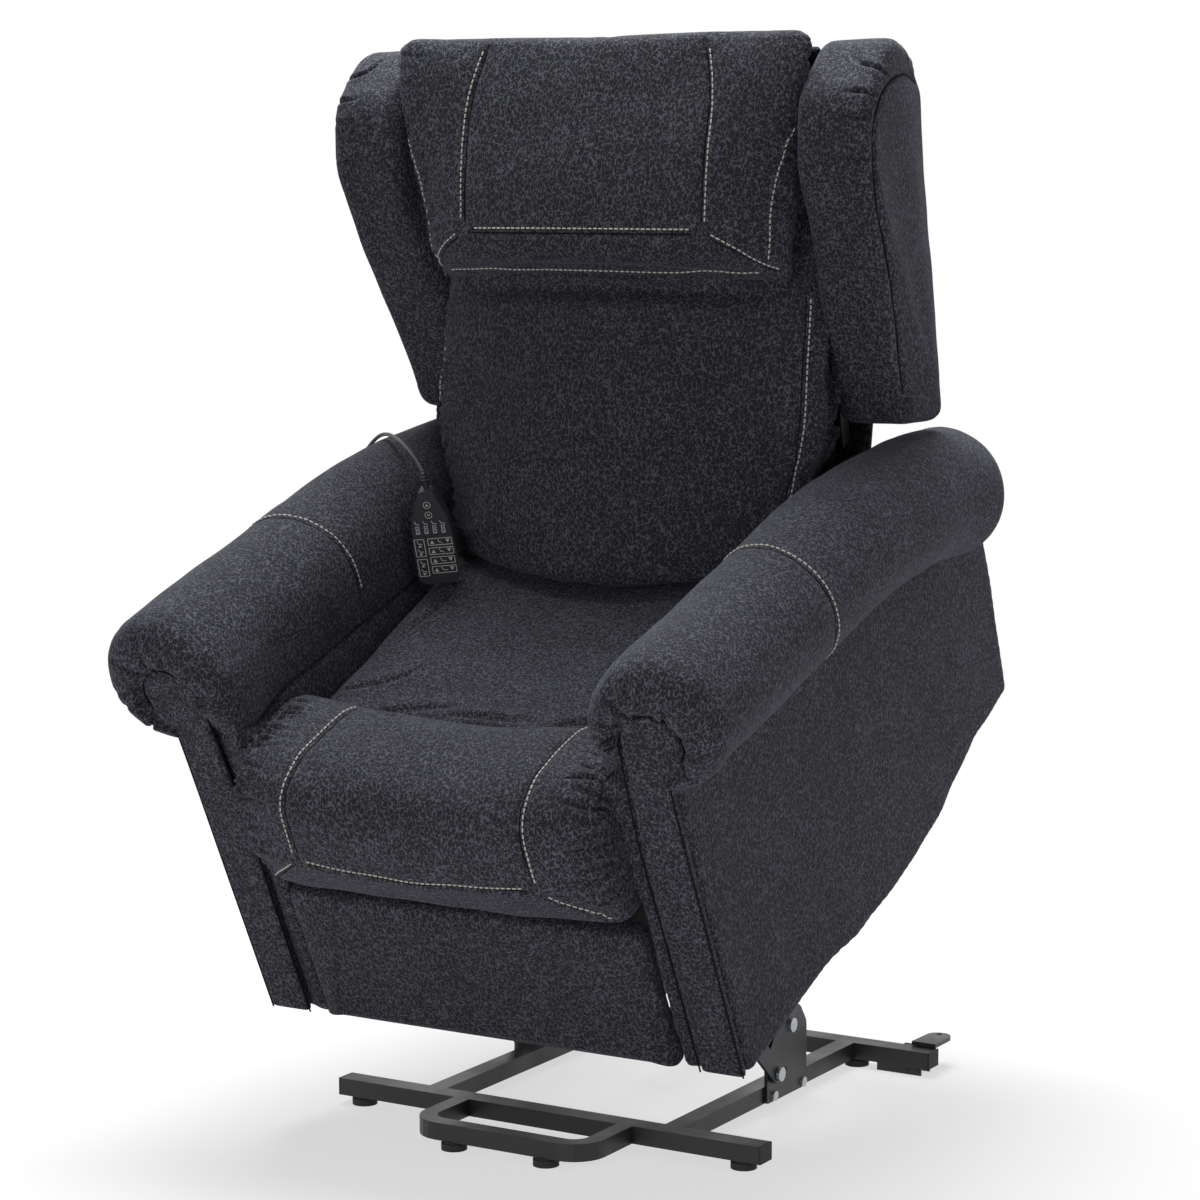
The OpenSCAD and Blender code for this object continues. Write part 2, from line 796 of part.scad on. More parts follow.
// Welded steel back: pivot brackets, posts, three rails and the lever of the recline actuator.
module back_frame() {
    bracket = [[recline_u - 18, recline_w - 18, 17], [recline_u + 18, recline_w - 18, 17],
        [recline_u + 14, 335, 30], [720, 363, 0], [797, 479, 0], [773, 492, 0],
        [recline_u - 14, 352, 30]];
    post = [[770, 470, 0], [794, 470, 0], [920, 925, 0], [896, 925, 0]];
    color(steel) on_chair() {
        both_sides() {
            along_x(bracket_x0, bracket_x0 + plate_thickness) polygon(rounded(bracket));
            along_x(bracket_x0, bracket_x0 + post_width) polygon(rounded(post));
            rod_x(chassis_x0 - 6, bracket_x0, recline_u, recline_w, pin_radius);
        }
        rod_x(-chassis_x0 + 6, chassis_x0 - 6, recline_u, recline_w, 11);
        for (p = [[784, 488], [843, 690], [902, 905]]) {
            rod_x(-bracket_x0, bracket_x0, p[0], p[1], 10);
        }
        for (x0 = [recline_x - 13, recline_x + 9]) {
            strap(x0, x0 + 4, [recline_u, recline_w], [lever_u, lever_w], 12);
        }
        rod_x(recline_x - 15, recline_x + 15, lever_u, lever_w, actuator_pin);
    }
}

// Height along the back, at depth y behind its face, of the level just above the seat.
function back_floor(y) = y * tan(back_lean) - (back_w - seat_height - 7) / cos(back_lean);

module back_cushion() {
    crown = [for (i = [0:12])
        let (x = -back_x + 2 * back_x * i / 12)
        [x, back_crown * pow(x / back_x, 2)]];
    color(fabric) on_back() intersection() {
        along_x(-back_x, back_x) polygon(rounded([[0, back_floor(0), 24],
            [150, back_floor(150), 20], [120, back_length, 20], [10, back_length, 30]]));
        translate([0, 0, -60]) linear_extrude(back_length + 120)
            polygon(concat(crown, [[back_x, 300], [-back_x, 300]]));
    }
}

module head_pillow() {
    color(fabric) on_back() translate([0, 0, 425]) along_x(-back_x, back_x)
        polygon(rounded([[-10, 0, 4], [-pillow_swell, 60, 50], [-pillow_swell, 180, 70],
            [-36, pillow_length, 30], [-2, pillow_length, 0], [-2, 0, 0]]));
}

module wing() {
    outline = [[163, 277, 30], [291, 279, 34], [139, 716, 24], [60, 756, 30], [-10, 752, 40],
        [-34, 600, 60]];
    along_x(back_x + soft_gap, back_x + soft_gap + wing_thickness) polygon(rounded(outline));
}

module wing_left() {
    color(fabric) on_back() wing();
}

module wing_right() {
    color(fabric) on_back() mirror([1, 0, 0]) wing();
}

module back_cover() {
    color(fabric) on_back() along_x(-back_x, back_x)
        polygon([[288, 110], [298, 110], [304, 280], [156, 735], [60, 770], [60, 760],
            [148, 727], [294, 279]]);
}

// ---------- handset ----------

handset_x = -247;
handset_u = 459;
handset_w = 414;
half_thick = handset_thickness / 2;

module on_handset() {
    on_chair() translate([handset_x, handset_u, handset_w]) rotate([-lift_tilt, 0, 0])
        rotate([0, 0, 25]) rotate([19.5, 0, 0]) rotate([0, -6, 0]) children();
}

module handset_slab(y0, y1) {
    w = handset_width / 2;
    translate([0, y1, 0]) rotate([90, 0, 0]) linear_extrude(y1 - y0)
        polygon(rounded([[-w, 0, 16], [w, 0, 16], [w, 56, 60], [w * 0.86, 100, 50],
            [w * 0.3, handset_length, 9], [-w * 0.3, handset_length, 9],
            [-w * 0.86, 100, 50], [-w, 56, 60]]));
}

// Each key: middle across, middle along, width, height.
power_place = [0, 121.5, 12, 12];
lamp_place = [0, 106.5, 12, 12];
lift_place = [-19.5, 57.5, 15.5, 28];
recline_place = [-19.5, 27, 15.5, 28];
row_place = [for (i = [0:3]) [9.5, 65.5 - 14.3 * i, 35.5, 12]];
key_gap = 0.3;
key_rise = 1.2;
key_depth = key_travel + 1.6;

// Outline of a key grown by g: round where it is as wide as it is high.
module key_outline(p, g) {
    w = p[2] / 2 + g;
    h = p[3] / 2 + g;
    translate([p[0], p[1]]) {
        if (p[2] == p[3]) circle(w);
        else polygon(rounded([[-w, -h, 2], [w, -h, 2], [w, h, 2], [-w, h, 2]]));
    }
}

module key(p) {
    color(key_grey) on_handset() translate([0, -half_thick + key_depth - key_travel - 0.3, 0])
        rotate([90, 0, 0]) linear_extrude(key_depth - key_travel - 0.3 + key_rise)
        key_outline(p, 0);
}

module handset_lower_shell() {
    color(plastic) on_handset() {
        handset_slab(0, half_thick);
        translate([0, half_thick / 2, handset_length - 2]) cylinder(h = 12, r = 4.5);
    }
}

// Front shell with a recess for each key.
module handset_upper_shell() {
    color(plastic) on_handset() difference() {
        handset_slab(-half_thick, 0);
        for (p = concat([power_place, lamp_place, lift_place, recline_place], row_place)) {
            translate([0, -half_thick + key_depth, 0]) rotate([90, 0, 0])
                linear_extrude(key_depth + cut) key_outline(p, key_gap);
        }
    }
}

module power_key() { key(power_place); }
module lamp_key() { key(lamp_place); }
module lift_rocker() { key(lift_place); }
module recline_rocker() { key(recline_place); }
module back_keys() { key(row_place[0]); }
module leg_keys() { key(row_place[1]); }
module memory_keys() { key(row_place[2]); }
module heat_keys() { key(row_place[3]); }

// Route of the handset cord in the chair's frame: [across, front to back, up].
cord_route = [[-240, 474, 566], [-242, 478, 580], [-262, 494, 594], [-300, 528, 592],
    [-340, 566, 578], [-376, 596, 565], [-402, 610, 553], [-427, 616, 534],
    [-449, 618, 510], [-461, 618, 485], [-464, 618, 452], [-462, 618, 420],
    [-450, 618, 392], [-425, 618, 364], [-390, 618, 345], [-374, 618, 318],
    [-373, 618, 200], [-373, 618, 60], [-372.5, 618, 8], [-366, 618, -7], [-351, 618, -13],
    [-300, 615, -12], [-240, 610, -8], [-204, 604, 8], [-187, 597, 42], [-180, 590, 80]];
cord_sides = 8;
cord_turns = 3;

function cord_point(i) = cord_route[max(0, min(len(cord_route) - 1, i))];

// Catmull-Rom point between route points i and i + 1.
function cord_at(i, t) = let (a = cord_point(i - 1), b = cord_point(i), c = cord_point(i + 1),
        d = cord_point(i + 2))
    0.5 * (2 * b + (c - a) * t + (2 * a - 5 * b + 4 * c - d) * t * t
        + (3 * b - a - 3 * c + d) * t * t * t);

cord_spine = concat([for (i = [0:len(cord_route) - 2], k = [0:cord_turns - 1])
    cord_at(i, k / cord_turns)], [cord_point(len(cord_route) - 1)]);

function cord_way(i) = unit(cord_spine[min(len(cord_spine) - 1, i + 1)]
    - cord_spine[max(0, i - 1)]);

// Direction square to the cord that stays nearest to the chair's length.
function cord_side(i) = let (w = cord_way(i), v = [0, 1, 0]) unit(v - w * (v * w));

module handset_cord() {
    n = len(cord_spine);
    rings = [for (i = [0:n - 1], k = [0:cord_sides - 1])
        let (p = cord_side(i), q = cross(cord_way(i), p), a = 360 * k / cord_sides)
        cord_spine[i] + cord_diameter / 2 * (p * cos(a) + q * sin(a))];
    walls = [for (i = [0:n - 2], k = [0:cord_sides - 1])
        let (m = (k + 1) % cord_sides)
        [i * cord_sides + k, (i + 1) * cord_sides + k, (i + 1) * cord_sides + m,
            i * cord_sides + m]];
    start = [for (k = [0:cord_sides - 1]) k];
    end = [for (k = [cord_sides - 1:-1:0]) (n - 1) * cord_sides + k];
    color(rubber) on_chair() polyhedron(rings, concat(walls, [start, end]));
}

// ---------- transport wheels and foot plate ----------

wheel_radius = 15;
wheel_width = 18;
wheel_x0 = rear_bar_length / 2 - 60;
wheel_y = rear_face_y + 20;
wheel_z = wheel_radius + 2;
axle_radius = 4;
shoe_x0 = rear_bar_length / 2 - 80;
shoe_x1 = rear_bar_length / 2 - 10;
shoe_wall = 3;

// Riveted channels under the ends of the rear crossbar and the wheels' forks behind it.
module castor_housings() {
    color(steel) on_base() both_sides() {
        along_x(shoe_x0, shoe_x1) polygon([[base_depth, 1], [base_depth + shoe_wall, 1],
            [base_depth + shoe_wall, bar_z0 - shoe_wall],
            [rear_face_y - shoe_wall, bar_z0 - shoe_wall], [rear_face_y - shoe_wall, 1],
            [rear_face_y, 1], [rear_face_y, bar_z0], [base_depth, bar_z0]]);
        for (x = [shoe_x0 + 47, shoe_x0 + 64]) {
            translate([x, base_depth, bar_z0 - 5]) rotate([90, 0, 0]) cylinder(h = 1.5, r = 3);
        }
        for (x = [wheel_x0 - 5, wheel_x0 + wheel_width + 1]) {
            along_x(x, x + 4) polygon(rounded([[rear_face_y, bar_z0 + 2, 0],
                [wheel_y, wheel_z - 9, 8], [wheel_y + 9, wheel_z, 6],
                [wheel_y, wheel_z + 11, 8], [rear_face_y, bar_z1 - 2, 0]]));
        }
        rod_x(wheel_x0 - 8, wheel_x0 + wheel_width + 8, wheel_y, wheel_z, axle_radius);
    }
}

module castor_wheel() {
    difference() {
        rod_x(wheel_x0, wheel_x0 + wheel_width, wheel_y, wheel_z, wheel_radius);
        rod_x(wheel_x0 - cut, wheel_x0 + wheel_width + cut, wheel_y, wheel_z,
            axle_radius + pin_clearance);
    }
}

module castor_wheel_left() {
    color(rubber) on_base() castor_wheel();
}

module castor_wheel_right() {
    color(rubber) on_base() mirror([1, 0, 0]) castor_wheel();
}

// Teardrop foot plate that is stepped on to tip the chair back onto its wheels.
module castor_pedal() {
    x = rear_bar_length / 2 - 18;
    y = rear_face_y + 44;
    color(steel) on_base() {
        translate([0, 0, bar_z1 + 1]) linear_extrude(6) difference() {
            union() {
                polygon([[x - 20, rear_face_y - 4], [x + 18, rear_face_y - 4],
                    [x + 18, y], [x - 18, y]]);
                translate([x, y]) circle(18);
            }
            translate([x - 2, y + 8]) circle(4);
        }
        translate([x - 14, rear_face_y, bar_z0 + 4]) cube([28, 5, bar_height - 2]);
    }
}

front_crossbar();
rear_crossbar();
side_rail_left();
side_rail_right();
stability_hoop();
upright_plate_left();
upright_plate_right();
rubber_feet();
tube_end_caps();
frame_bolts();
motor_clevis();
castor_housings();
castor_wheel_left();
castor_wheel_right();
castor_pedal();
lower_link_left();
lower_link_right();
torque_tube();
upper_link_left();
upper_link_right();
lift_motor();
lift_rod();
chassis_side_left();
chassis_side_right();
chassis_cross_tubes();
seat_frame();
seat_springs();
seat_cushion();
front_pad();
arm_body_left();
arm_body_right();
arm_roll_left();
arm_roll_right();
arm_facing_left();
arm_facing_right();
rear_panel();
power_box();
recline_motor();
recline_rod();
leg_motor();
leg_rod();
footrest_panel();
footrest_arms();
back_frame();
back_cushion();
head_pillow();
wing_left();
wing_right();
back_cover();
handset_lower_shell();
handset_upper_shell();
handset_cord();
power_key();
lamp_key();
lift_rocker();
recline_rocker();
back_keys();
leg_keys();
memory_keys();
heat_keys();
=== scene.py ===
import math

import bmesh
import bpy
import numpy as np
from mathutils.bvhtree import BVHTree
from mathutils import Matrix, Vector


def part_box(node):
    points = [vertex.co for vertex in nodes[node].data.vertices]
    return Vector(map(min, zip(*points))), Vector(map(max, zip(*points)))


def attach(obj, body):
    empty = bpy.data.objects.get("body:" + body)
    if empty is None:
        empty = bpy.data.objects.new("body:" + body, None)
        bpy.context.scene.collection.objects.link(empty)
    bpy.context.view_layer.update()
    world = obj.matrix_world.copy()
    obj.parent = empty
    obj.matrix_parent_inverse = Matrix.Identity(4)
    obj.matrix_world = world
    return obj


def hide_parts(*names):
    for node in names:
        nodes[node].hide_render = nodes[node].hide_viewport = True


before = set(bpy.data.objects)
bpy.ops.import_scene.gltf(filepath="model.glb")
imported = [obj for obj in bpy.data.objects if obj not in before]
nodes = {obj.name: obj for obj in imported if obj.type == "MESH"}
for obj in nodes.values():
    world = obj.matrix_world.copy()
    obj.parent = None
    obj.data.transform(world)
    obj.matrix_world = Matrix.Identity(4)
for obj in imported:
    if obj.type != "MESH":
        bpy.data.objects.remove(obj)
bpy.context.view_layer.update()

# ---------- View ----------
# The raised chair seen from its front left at about chest height, with a long lens.
# It stands on a pale floor that fades into a white surround.
camera = bpy.data.objects.new("camera", bpy.data.cameras.new("camera"))
bpy.context.scene.collection.objects.link(camera)
camera.data.sensor_width = 36
camera.data.lens = 99.21
camera.location = (2.2855, -3.8527, 1.2739)
camera.rotation_euler = (math.radians(90 - 7.1085), 0, math.radians(30.677))
bpy.context.scene.camera = camera
bpy.context.scene.view_settings.view_transform = "Standard"


def linear(colour):
    """The linear colour of an sRGB hex value: c / 12.92 when dark, else ((c + 0.055) / 1.055) ^ 2.4."""
    c = np.array([int(colour[i:i + 2], 16) / 255 for i in (1, 3, 5)])
    return (*np.where(c <= 0.04045, c / 12.92, ((c + 0.055) / 1.055) ** 2.4), 1)


def add(tree, kind, sockets=None, **settings):
    """Adds a shader node with its settings; a socket takes a number, a colour or another node's
    output."""
    node = tree.nodes.new("ShaderNode" + kind)
    for name, value in settings.items():
        setattr(node, name, value)
    for name, value in (sockets or {}).items():
        if isinstance(value, bpy.types.NodeSocket):
            tree.links.new(value, node.inputs[name])
        else:
            node.inputs[name].default_value = value
    return node


def blank_material(name):
    """A material with an empty node tree and its output node."""
    material = bpy.data.materials.new(name)
    material.use_nodes = True
    material.node_tree.nodes.clear()
    return material, material.node_tree, add(material.node_tree, "OutputMaterial")


def white_surround(tree):
    """1 for rays that show the surround itself (camera, mirror and glass rays), 0 for the light
    that falls on the chair."""
    path = add(tree, "LightPath").outputs
    seen = path["Is Camera Ray"]
    for ray in ("Is Glossy Ray", "Is Transmission Ray"):
        seen = add(tree, "Math", {0: seen, 1: path[ray]}, operation="MAXIMUM").outputs[0]
    return seen


floor_material, tree, output = blank_material("painted_floor")
seen = white_surround(tree)
paint = add(tree, "BsdfDiffuse", {"Color": linear("#f2f2f2")}).outputs[0]
veil = add(tree, "Emission", {"Color": (1, 1, 1, 1), "Strength": 0.62}).outputs[0]
pale = add(tree, "BsdfDiffuse", {"Color": linear("#a8a8a8")}).outputs[0]
shown = add(tree, "AddShader", {0: pale, 1: veil}).outputs[0]
away = add(tree, "VectorMath", {0: add(tree, "TexCoord").outputs["Object"]}, operation="LENGTH")
edge = add(tree, "MapRange", {"Value": away.outputs["Value"], "From Min": 0.9, "From Max": 2.6},
           interpolation_type="SMOOTHSTEP").outputs[0]
paper = add(tree, "Emission", {"Color": (1, 1, 1, 1), "Strength": 1.0}).outputs[0]
shown = add(tree, "MixShader", {0: edge, 1: shown, 2: paper}).outputs[0]
tree.links.new(add(tree, "MixShader", {0: seen, 1: paint, 2: shown}).outputs[0], output.inputs[0])
mesh = bpy.data.meshes.new("floor")
mesh.from_pydata([(-9, -9, -0.0005), (9, -9, -0.0005), (9, 9, -0.0005), (-9, 9, -0.0005)], [],
                 [(0, 1, 2, 3)])
mesh.materials.append(floor_material)
floor = bpy.data.objects.new("floor", mesh)
bpy.context.scene.collection.objects.link(floor)

world = bpy.data.worlds.new("white_room")
world.use_nodes = True
world.node_tree.nodes.clear()
seen = white_surround(world.node_tree)
room = add(world.node_tree, "Background", {"Color": (1, 1, 1, 1), "Strength": 0.11}).outputs[0]
white = add(world.node_tree, "Background", {"Color": (1, 1, 1, 1), "Strength": 1.0}).outputs[0]
mixed = add(world.node_tree, "MixShader", {0: seen, 1: room, 2: white}).outputs[0]
world.node_tree.links.new(mixed, add(world.node_tree, "OutputWorld").inputs[0])
bpy.context.scene.world = world

for name, place, aim, size, watts in (
        ("softbox_above", (-0.4, 0.5, 3.6), (0, 0, 0.9), 2.2, 180),
        ("softbox_front", (0.3, -3.8, 0.9), (0, 0, 0.6), 1.8, 30),
        ("softbox_side", (3.6, 0.0, 1.7), (0, 0, 0.8), 2.0, 21)):
    lamp = bpy.data.lights.new(name, "AREA")
    lamp.size = size
    lamp.energy = watts
    light = bpy.data.objects.new(name, lamp)
    light.location = place
    toward = np.subtract(aim, place)
    light.rotation_euler = (math.acos(-toward[2] / np.linalg.norm(toward)), 0,
                            math.atan2(toward[1], toward[0]) - math.pi / 2)
    bpy.context.scene.collection.objects.link(light)

# ---------- Handset cord ----------
# A 5.5 mm PVC cord with one end in the handset and the other in the power box under the seat.
# It loops over the sitter's right arm, drops down its outside and runs back in under the arm.


def turned(points, tilt, origin):
    """Millimetres (across, back, up) turned about X by tilt degrees, moved by origin, in metres."""
    p = np.asarray(points, float)
    c, s = math.cos(math.radians(tilt)), math.sin(math.radians(tilt))
    spun = [p[..., 0], p[..., 1] * c - p[..., 2] * s, p[..., 1] * s + p[..., 2] * c]
    return (np.stack(spun, -1) + origin) / 1000


def on_chair(points):
    """Places points of the seat and arms, which lean forward by 26 degrees when the chair is raised."""
    return turned(points, 26, (0, -248.24, 156))


def through(points, steps, closed=False):
    """A smooth line through the points: between each two, the Catmull-Rom cubic of the four
    around them."""
    p = np.asarray(points, float)
    n = len(p)
    i = np.arange(n if closed else n - 1)
    a, b, c, d = [p[(i + k) % n] if closed else p[np.clip(i + k, 0, n - 1)] for k in (-1, 0, 1, 2)]
    t = np.linspace(0, 1, steps, endpoint=False)[None, :, None]
    a, b, c, d = [q[:, None, :] for q in (a, b, c, d)]
    line = b + t * (c - a) / 2 + t * t * (a - 2.5 * b + 2 * c - d / 2)
    line = (line + t ** 3 * (1.5 * b - a / 2 - 1.5 * c + d / 2)).reshape(-1, p.shape[1])
    return line if closed else np.vstack([line, p[-1:]])


def run_along(line):
    """The distance along a line at each of its points, from 0."""
    return np.concatenate([[0], np.cumsum(np.linalg.norm(np.diff(line, axis=0), axis=1))])


def sampled(line, run, at):
    """The points of a line, or other values given at its points, at distances along it."""
    return np.stack([np.interp(at, run, column) for column in line.T], 1)


def unit(vectors):
    """The rows of vectors at length 1."""
    return vectors / np.maximum(np.linalg.norm(vectors, axis=1), 1e-9)[:, None]


def linked(name, mesh, material):
    """Puts a mesh or curve into the scene as a piece of one material."""
    piece = bpy.data.objects.new(name, mesh)
    bpy.context.scene.collection.objects.link(piece)
    mesh.materials.append(material)
    return piece


def skin(name, grid, material, around=True, closed=True):
    """A mesh over a grid of points: one quad between each four neighbours. around joins the last
    column to the first; closed draws the first and last rows together into poles."""
    rows, columns = grid.shape[:2]
    co = grid.reshape(-1, 3)
    i = np.arange(rows - 1)[:, None] * columns
    j = np.arange(columns if around else columns - 1)[None, :]
    right = (j + 1) % columns
    quads = np.stack([i + j, i + right, i + columns + right, i + columns + j], -1).reshape(-1, 4)
    mesh = bpy.data.meshes.new(name)
    mesh.from_pydata(co, [], quads)
    bm = bmesh.new()
    bm.from_mesh(mesh)
    bmesh.ops.remove_doubles(bm, verts=bm.verts, dist=1e-6)
    if closed:
        edges = [e for e in bm.edges if e.is_boundary]
        if edges:
            bmesh.ops.holes_fill(bm, edges=edges)
    bmesh.ops.recalc_face_normals(bm, faces=bm.faces)
    bm.to_mesh(mesh)
    bm.free()
    mesh.shade_smooth()
    return linked(name, mesh, material)


def finish(name, colour, roughness, **sockets):
    """A Principled material and its tree; sockets names further inputs, with _ for a space."""
    material, tree, output = blank_material(name)
    values = {"Base Color": linear(colour), "Roughness": roughness}
    values.update({key.replace("_", " "): value for key, value in sockets.items()})
    shader = add(tree, "BsdfPrincipled", values)
    tree.links.new(shader.outputs[0], output.inputs[0])
    return material, tree, shader


def grained(name, colour, roughness, scale, detail, depth, strength=1.0, matt=None, tones=None,
            low=0.3, **sockets):
    """A material with the grain of one noise of scale waves per metre, as bump of the given depth in
    metres. Between low and 1 - low the noise also moves the roughness between the two values of
    matt, and from 0 to 1 the colour between the two tones."""
    material, tree, shader = finish(name, colour, roughness, **sockets)
    place = add(tree, "TexCoord").outputs["Object"]
    grain = add(tree, "TexNoise", {"Vector": place, "Scale": scale, "Detail": detail}).outputs[0]
    if matt:
        worn = add(tree, "MapRange", {"Value": grain, "From Min": low, "From Max": 1 - low,
                                      "To Min": matt[0], "To Max": matt[1]},
                   interpolation_type="SMOOTHSTEP").outputs[0]
        tree.links.new(worn, shader.inputs["Roughness"])
    if tones:
        tone = add(tree, "Mix", {0: grain, 6: linear(tones[0]), 7: linear(tones[1])},
                   data_type="RGBA").outputs[2]
        tree.links.new(tone, shader.inputs["Base Color"])
    if depth:
        bump = add(tree, "Bump", {"Height": grain, "Distance": depth, "Strength": strength})
        tree.links.new(bump.outputs[0], shader.inputs["Normal"])
    return material


# Plasticised PVC: even matt black with a faint drawn grain.
cord_pvc = grained("extruded_pvc", "#17181a", 0.5, 900.0, 2.0, 0.00008, matt=(0.42, 0.6))

cord_route = [(-240, 474, 566), (-242, 478, 580), (-262, 494, 594), (-300, 528, 592),
              (-340, 566, 578), (-376, 596, 565), (-402, 610, 553), (-427, 616, 534),
              (-449, 618, 510), (-461, 618, 485), (-464, 618, 452), (-462, 618, 420),
              (-450, 618, 392), (-425, 618, 364), (-390, 618, 345), (-374, 618, 318),
              (-373, 618, 200), (-373, 618, 60), (-372.5, 618, 8), (-366, 618, -7),
              (-351, 618, -13), (-300, 615, -12), (-240, 610, -8), (-204, 604, 8),
              (-187, 597, 42), (-180, 590, 80)]
cord_line = on_chair(through(cord_route, 8))
curve = bpy.data.curves.new("handset_lead", "CURVE")
curve.dimensions = "3D"
curve.bevel_depth = 0.00275
curve.bevel_resolution = 3
curve.use_fill_caps = True
spline = curve.splines.new("POLY")
spline.points.add(len(cord_line) - 1)
spline.points.foreach_set("co", np.hstack([cord_line, np.ones((len(cord_line), 1))]).ravel())
spline.use_smooth = True
handset_lead = linked("handset_lead", curve, cord_pvc)
run = run_along(cord_line)
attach(handset_lead, "chair")
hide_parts("handset_cord")

# The strain relief: a ribbed PVC sleeve 26 mm long that tapers from 10 to 7 mm round the cord.
sleeve_length, rib_pitch = 0.026, 0.0043
at = np.linspace(0, sleeve_length, 53)
core = sampled(cord_line, run, at)
along = unit(np.gradient(core, axis=0))
side = unit(np.cross(along, (1.0, 0.0, 0.0)))
radius = 0.005 - 0.0015 * at / sleeve_length - 0.0005 * np.cos(2 * math.pi * at / rib_pitch)
angle = np.linspace(0, 2 * math.pi, 20, endpoint=False)[None, :, None]
sleeve = core[:, None] + radius[:, None, None] * (side[:, None] * np.cos(angle)
                                                  + np.cross(along, side)[:, None] * np.sin(angle))
cord_sleeve = skin("handset_cord_sleeve", sleeve, cord_pvc)
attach(cord_sleeve, "chair")

# ---------- Steel base, lift links and frames ----------
# Welded square tube and laser-cut plate under satin black powder coat. Bolts and springs are zinc
# plated, feet are moulded rubber, motors are black moulded plastic and the seat frame is pine.


def dress(material, *names):
    """Gives CAD nodes their material."""
    for name in names:
        nodes[name].data.materials.clear()
        nodes[name].data.materials.append(material)


# Powder coat: satin with a slight orange peel about 1.5 mm across, which breaks up reflections.
powder_coat, tree, shader = finish("powder_coat", "#131415", 0.42)
place = add(tree, "TexCoord").outputs["Object"]
peel = add(tree, "TexNoise", {"Vector": place, "Scale": 650.0, "Detail": 1.0}).outputs[0]
cloud = add(tree, "TexNoise", {"Vector": place, "Scale": 14.0, "Detail": 3.0}).outputs[0]
satin = add(tree, "MapRange", {"Value": cloud, "From Min": 0.3, "From Max": 0.7, "To Min": 0.36,
                               "To Max": 0.5}, interpolation_type="SMOOTHSTEP").outputs[0]
tree.links.new(satin, shader.inputs["Roughness"])
bump = add(tree, "Bump", {"Height": peel, "Distance": 0.00012, "Strength": 0.5}).outputs[0]
tree.links.new(bump, shader.inputs["Normal"])
dress(powder_coat, "front_crossbar", "rear_crossbar", "side_rail_left", "side_rail_right",
      "stability_hoop", "upright_plate_left", "upright_plate_right", "motor_clevis",
      "castor_housings", "castor_pedal", "lower_link_left", "lower_link_right", "torque_tube",
      "upper_link_left", "upper_link_right")

# Mechanism paint: thinner and duller than the base's coat, with rub marks at random.
mechanism_paint = grained("mechanism_paint", "#202124", 0.5, 55.0, 4.0, 0.0002, 0.4,
                          matt=(0.38, 0.6), low=0.35)
dress(mechanism_paint, "chassis_side_left", "chassis_side_right", "chassis_cross_tubes",
      "footrest_arms", "back_frame")

# Sawn pine: pale wood with rings 7 mm apart drawn out along the grain, and no varnish.
sawn_pine, tree, shader = finish("sawn_pine", "#b08d5f", 0.75)
place = add(tree, "TexCoord").outputs["Object"]
along = add(tree, "Mapping", {"Vector": place, "Scale": (0.06, 1.0, 1.0)}).outputs[0]
rings = add(tree, "TexWave", {"Vector": along, "Scale": 22.0, "Distortion": 6.0, "Detail": 2.0},
            bands_direction="Y").outputs["Fac"]
tone = add(tree, "Mix", {0: rings, 6: linear("#9c7848"), 7: linear("#bd9c6d")}, data_type="RGBA")
tree.links.new(tone.outputs[2], shader.inputs["Base Color"])
bump = add(tree, "Bump", {"Height": rings, "Distance": 0.0002, "Strength": 0.4}).outputs[0]
tree.links.new(bump, shader.inputs["Normal"])
dress(sawn_pine, "seat_frame")

# Bright zinc: grey metal with fine turning marks.
zinc = grained("zinc_plate", "#b4b7bb", 0.3, 420.0, 3.0, 0.00005, matt=(0.22, 0.42), Metallic=1.0)
dress(zinc, "frame_bolts", "seat_springs", "lift_rod", "recline_rod", "leg_rod")

# Moulded rubber: matt, with the bloom that makes old rubber a little grey.
rubber = grained("moulded_rubber", "#151516", 0.78, 120.0, 4.0, 0.0002, 0.5,
                 tones=("#101011", "#242425"))
dress(rubber, "rubber_feet", "tube_end_caps", "castor_wheel_left", "castor_wheel_right")

# Spark-eroded ABS: the fine even grain of a textured mould, about half a millimetre.
abs_plastic = grained("textured_abs", "#232427", 0.46, 1900.0, 2.0, 0.00006, 0.6, matt=(0.4, 0.54))
dress(abs_plastic, "lift_motor", "recline_motor", "leg_motor", "power_box")

# Thin black lining: plain weave with 1.2 mm threads, closing the chair's underside at the back.
lining, tree, shader = finish("woven_lining", "#141416", 0.9)
place = add(tree, "TexCoord").outputs["Object"]
weave = [add(tree, "TexWave", {"Vector": place, "Scale": 130.0}, bands_direction=d).outputs["Fac"]
         for d in ("X", "Z")]
crossed = add(tree, "Math", {0: weave[0], 1: weave[1]}, operation="MULTIPLY").outputs[0]
bump = add(tree, "Bump", {"Height": crossed, "Distance": 0.0003, "Strength": 0.7}).outputs[0]
tree.links.new(bump, shader.inputs["Normal"])
dress(lining, "rear_panel")

# ---------- Upholstery fabric and sewing ----------
# Knitted chenille in charcoal: a dark blue-grey ground with short raised worm-like strokes of a
# paler yarn. The panels are sewn with a double seam and a cream topstitch of about 5 mm.


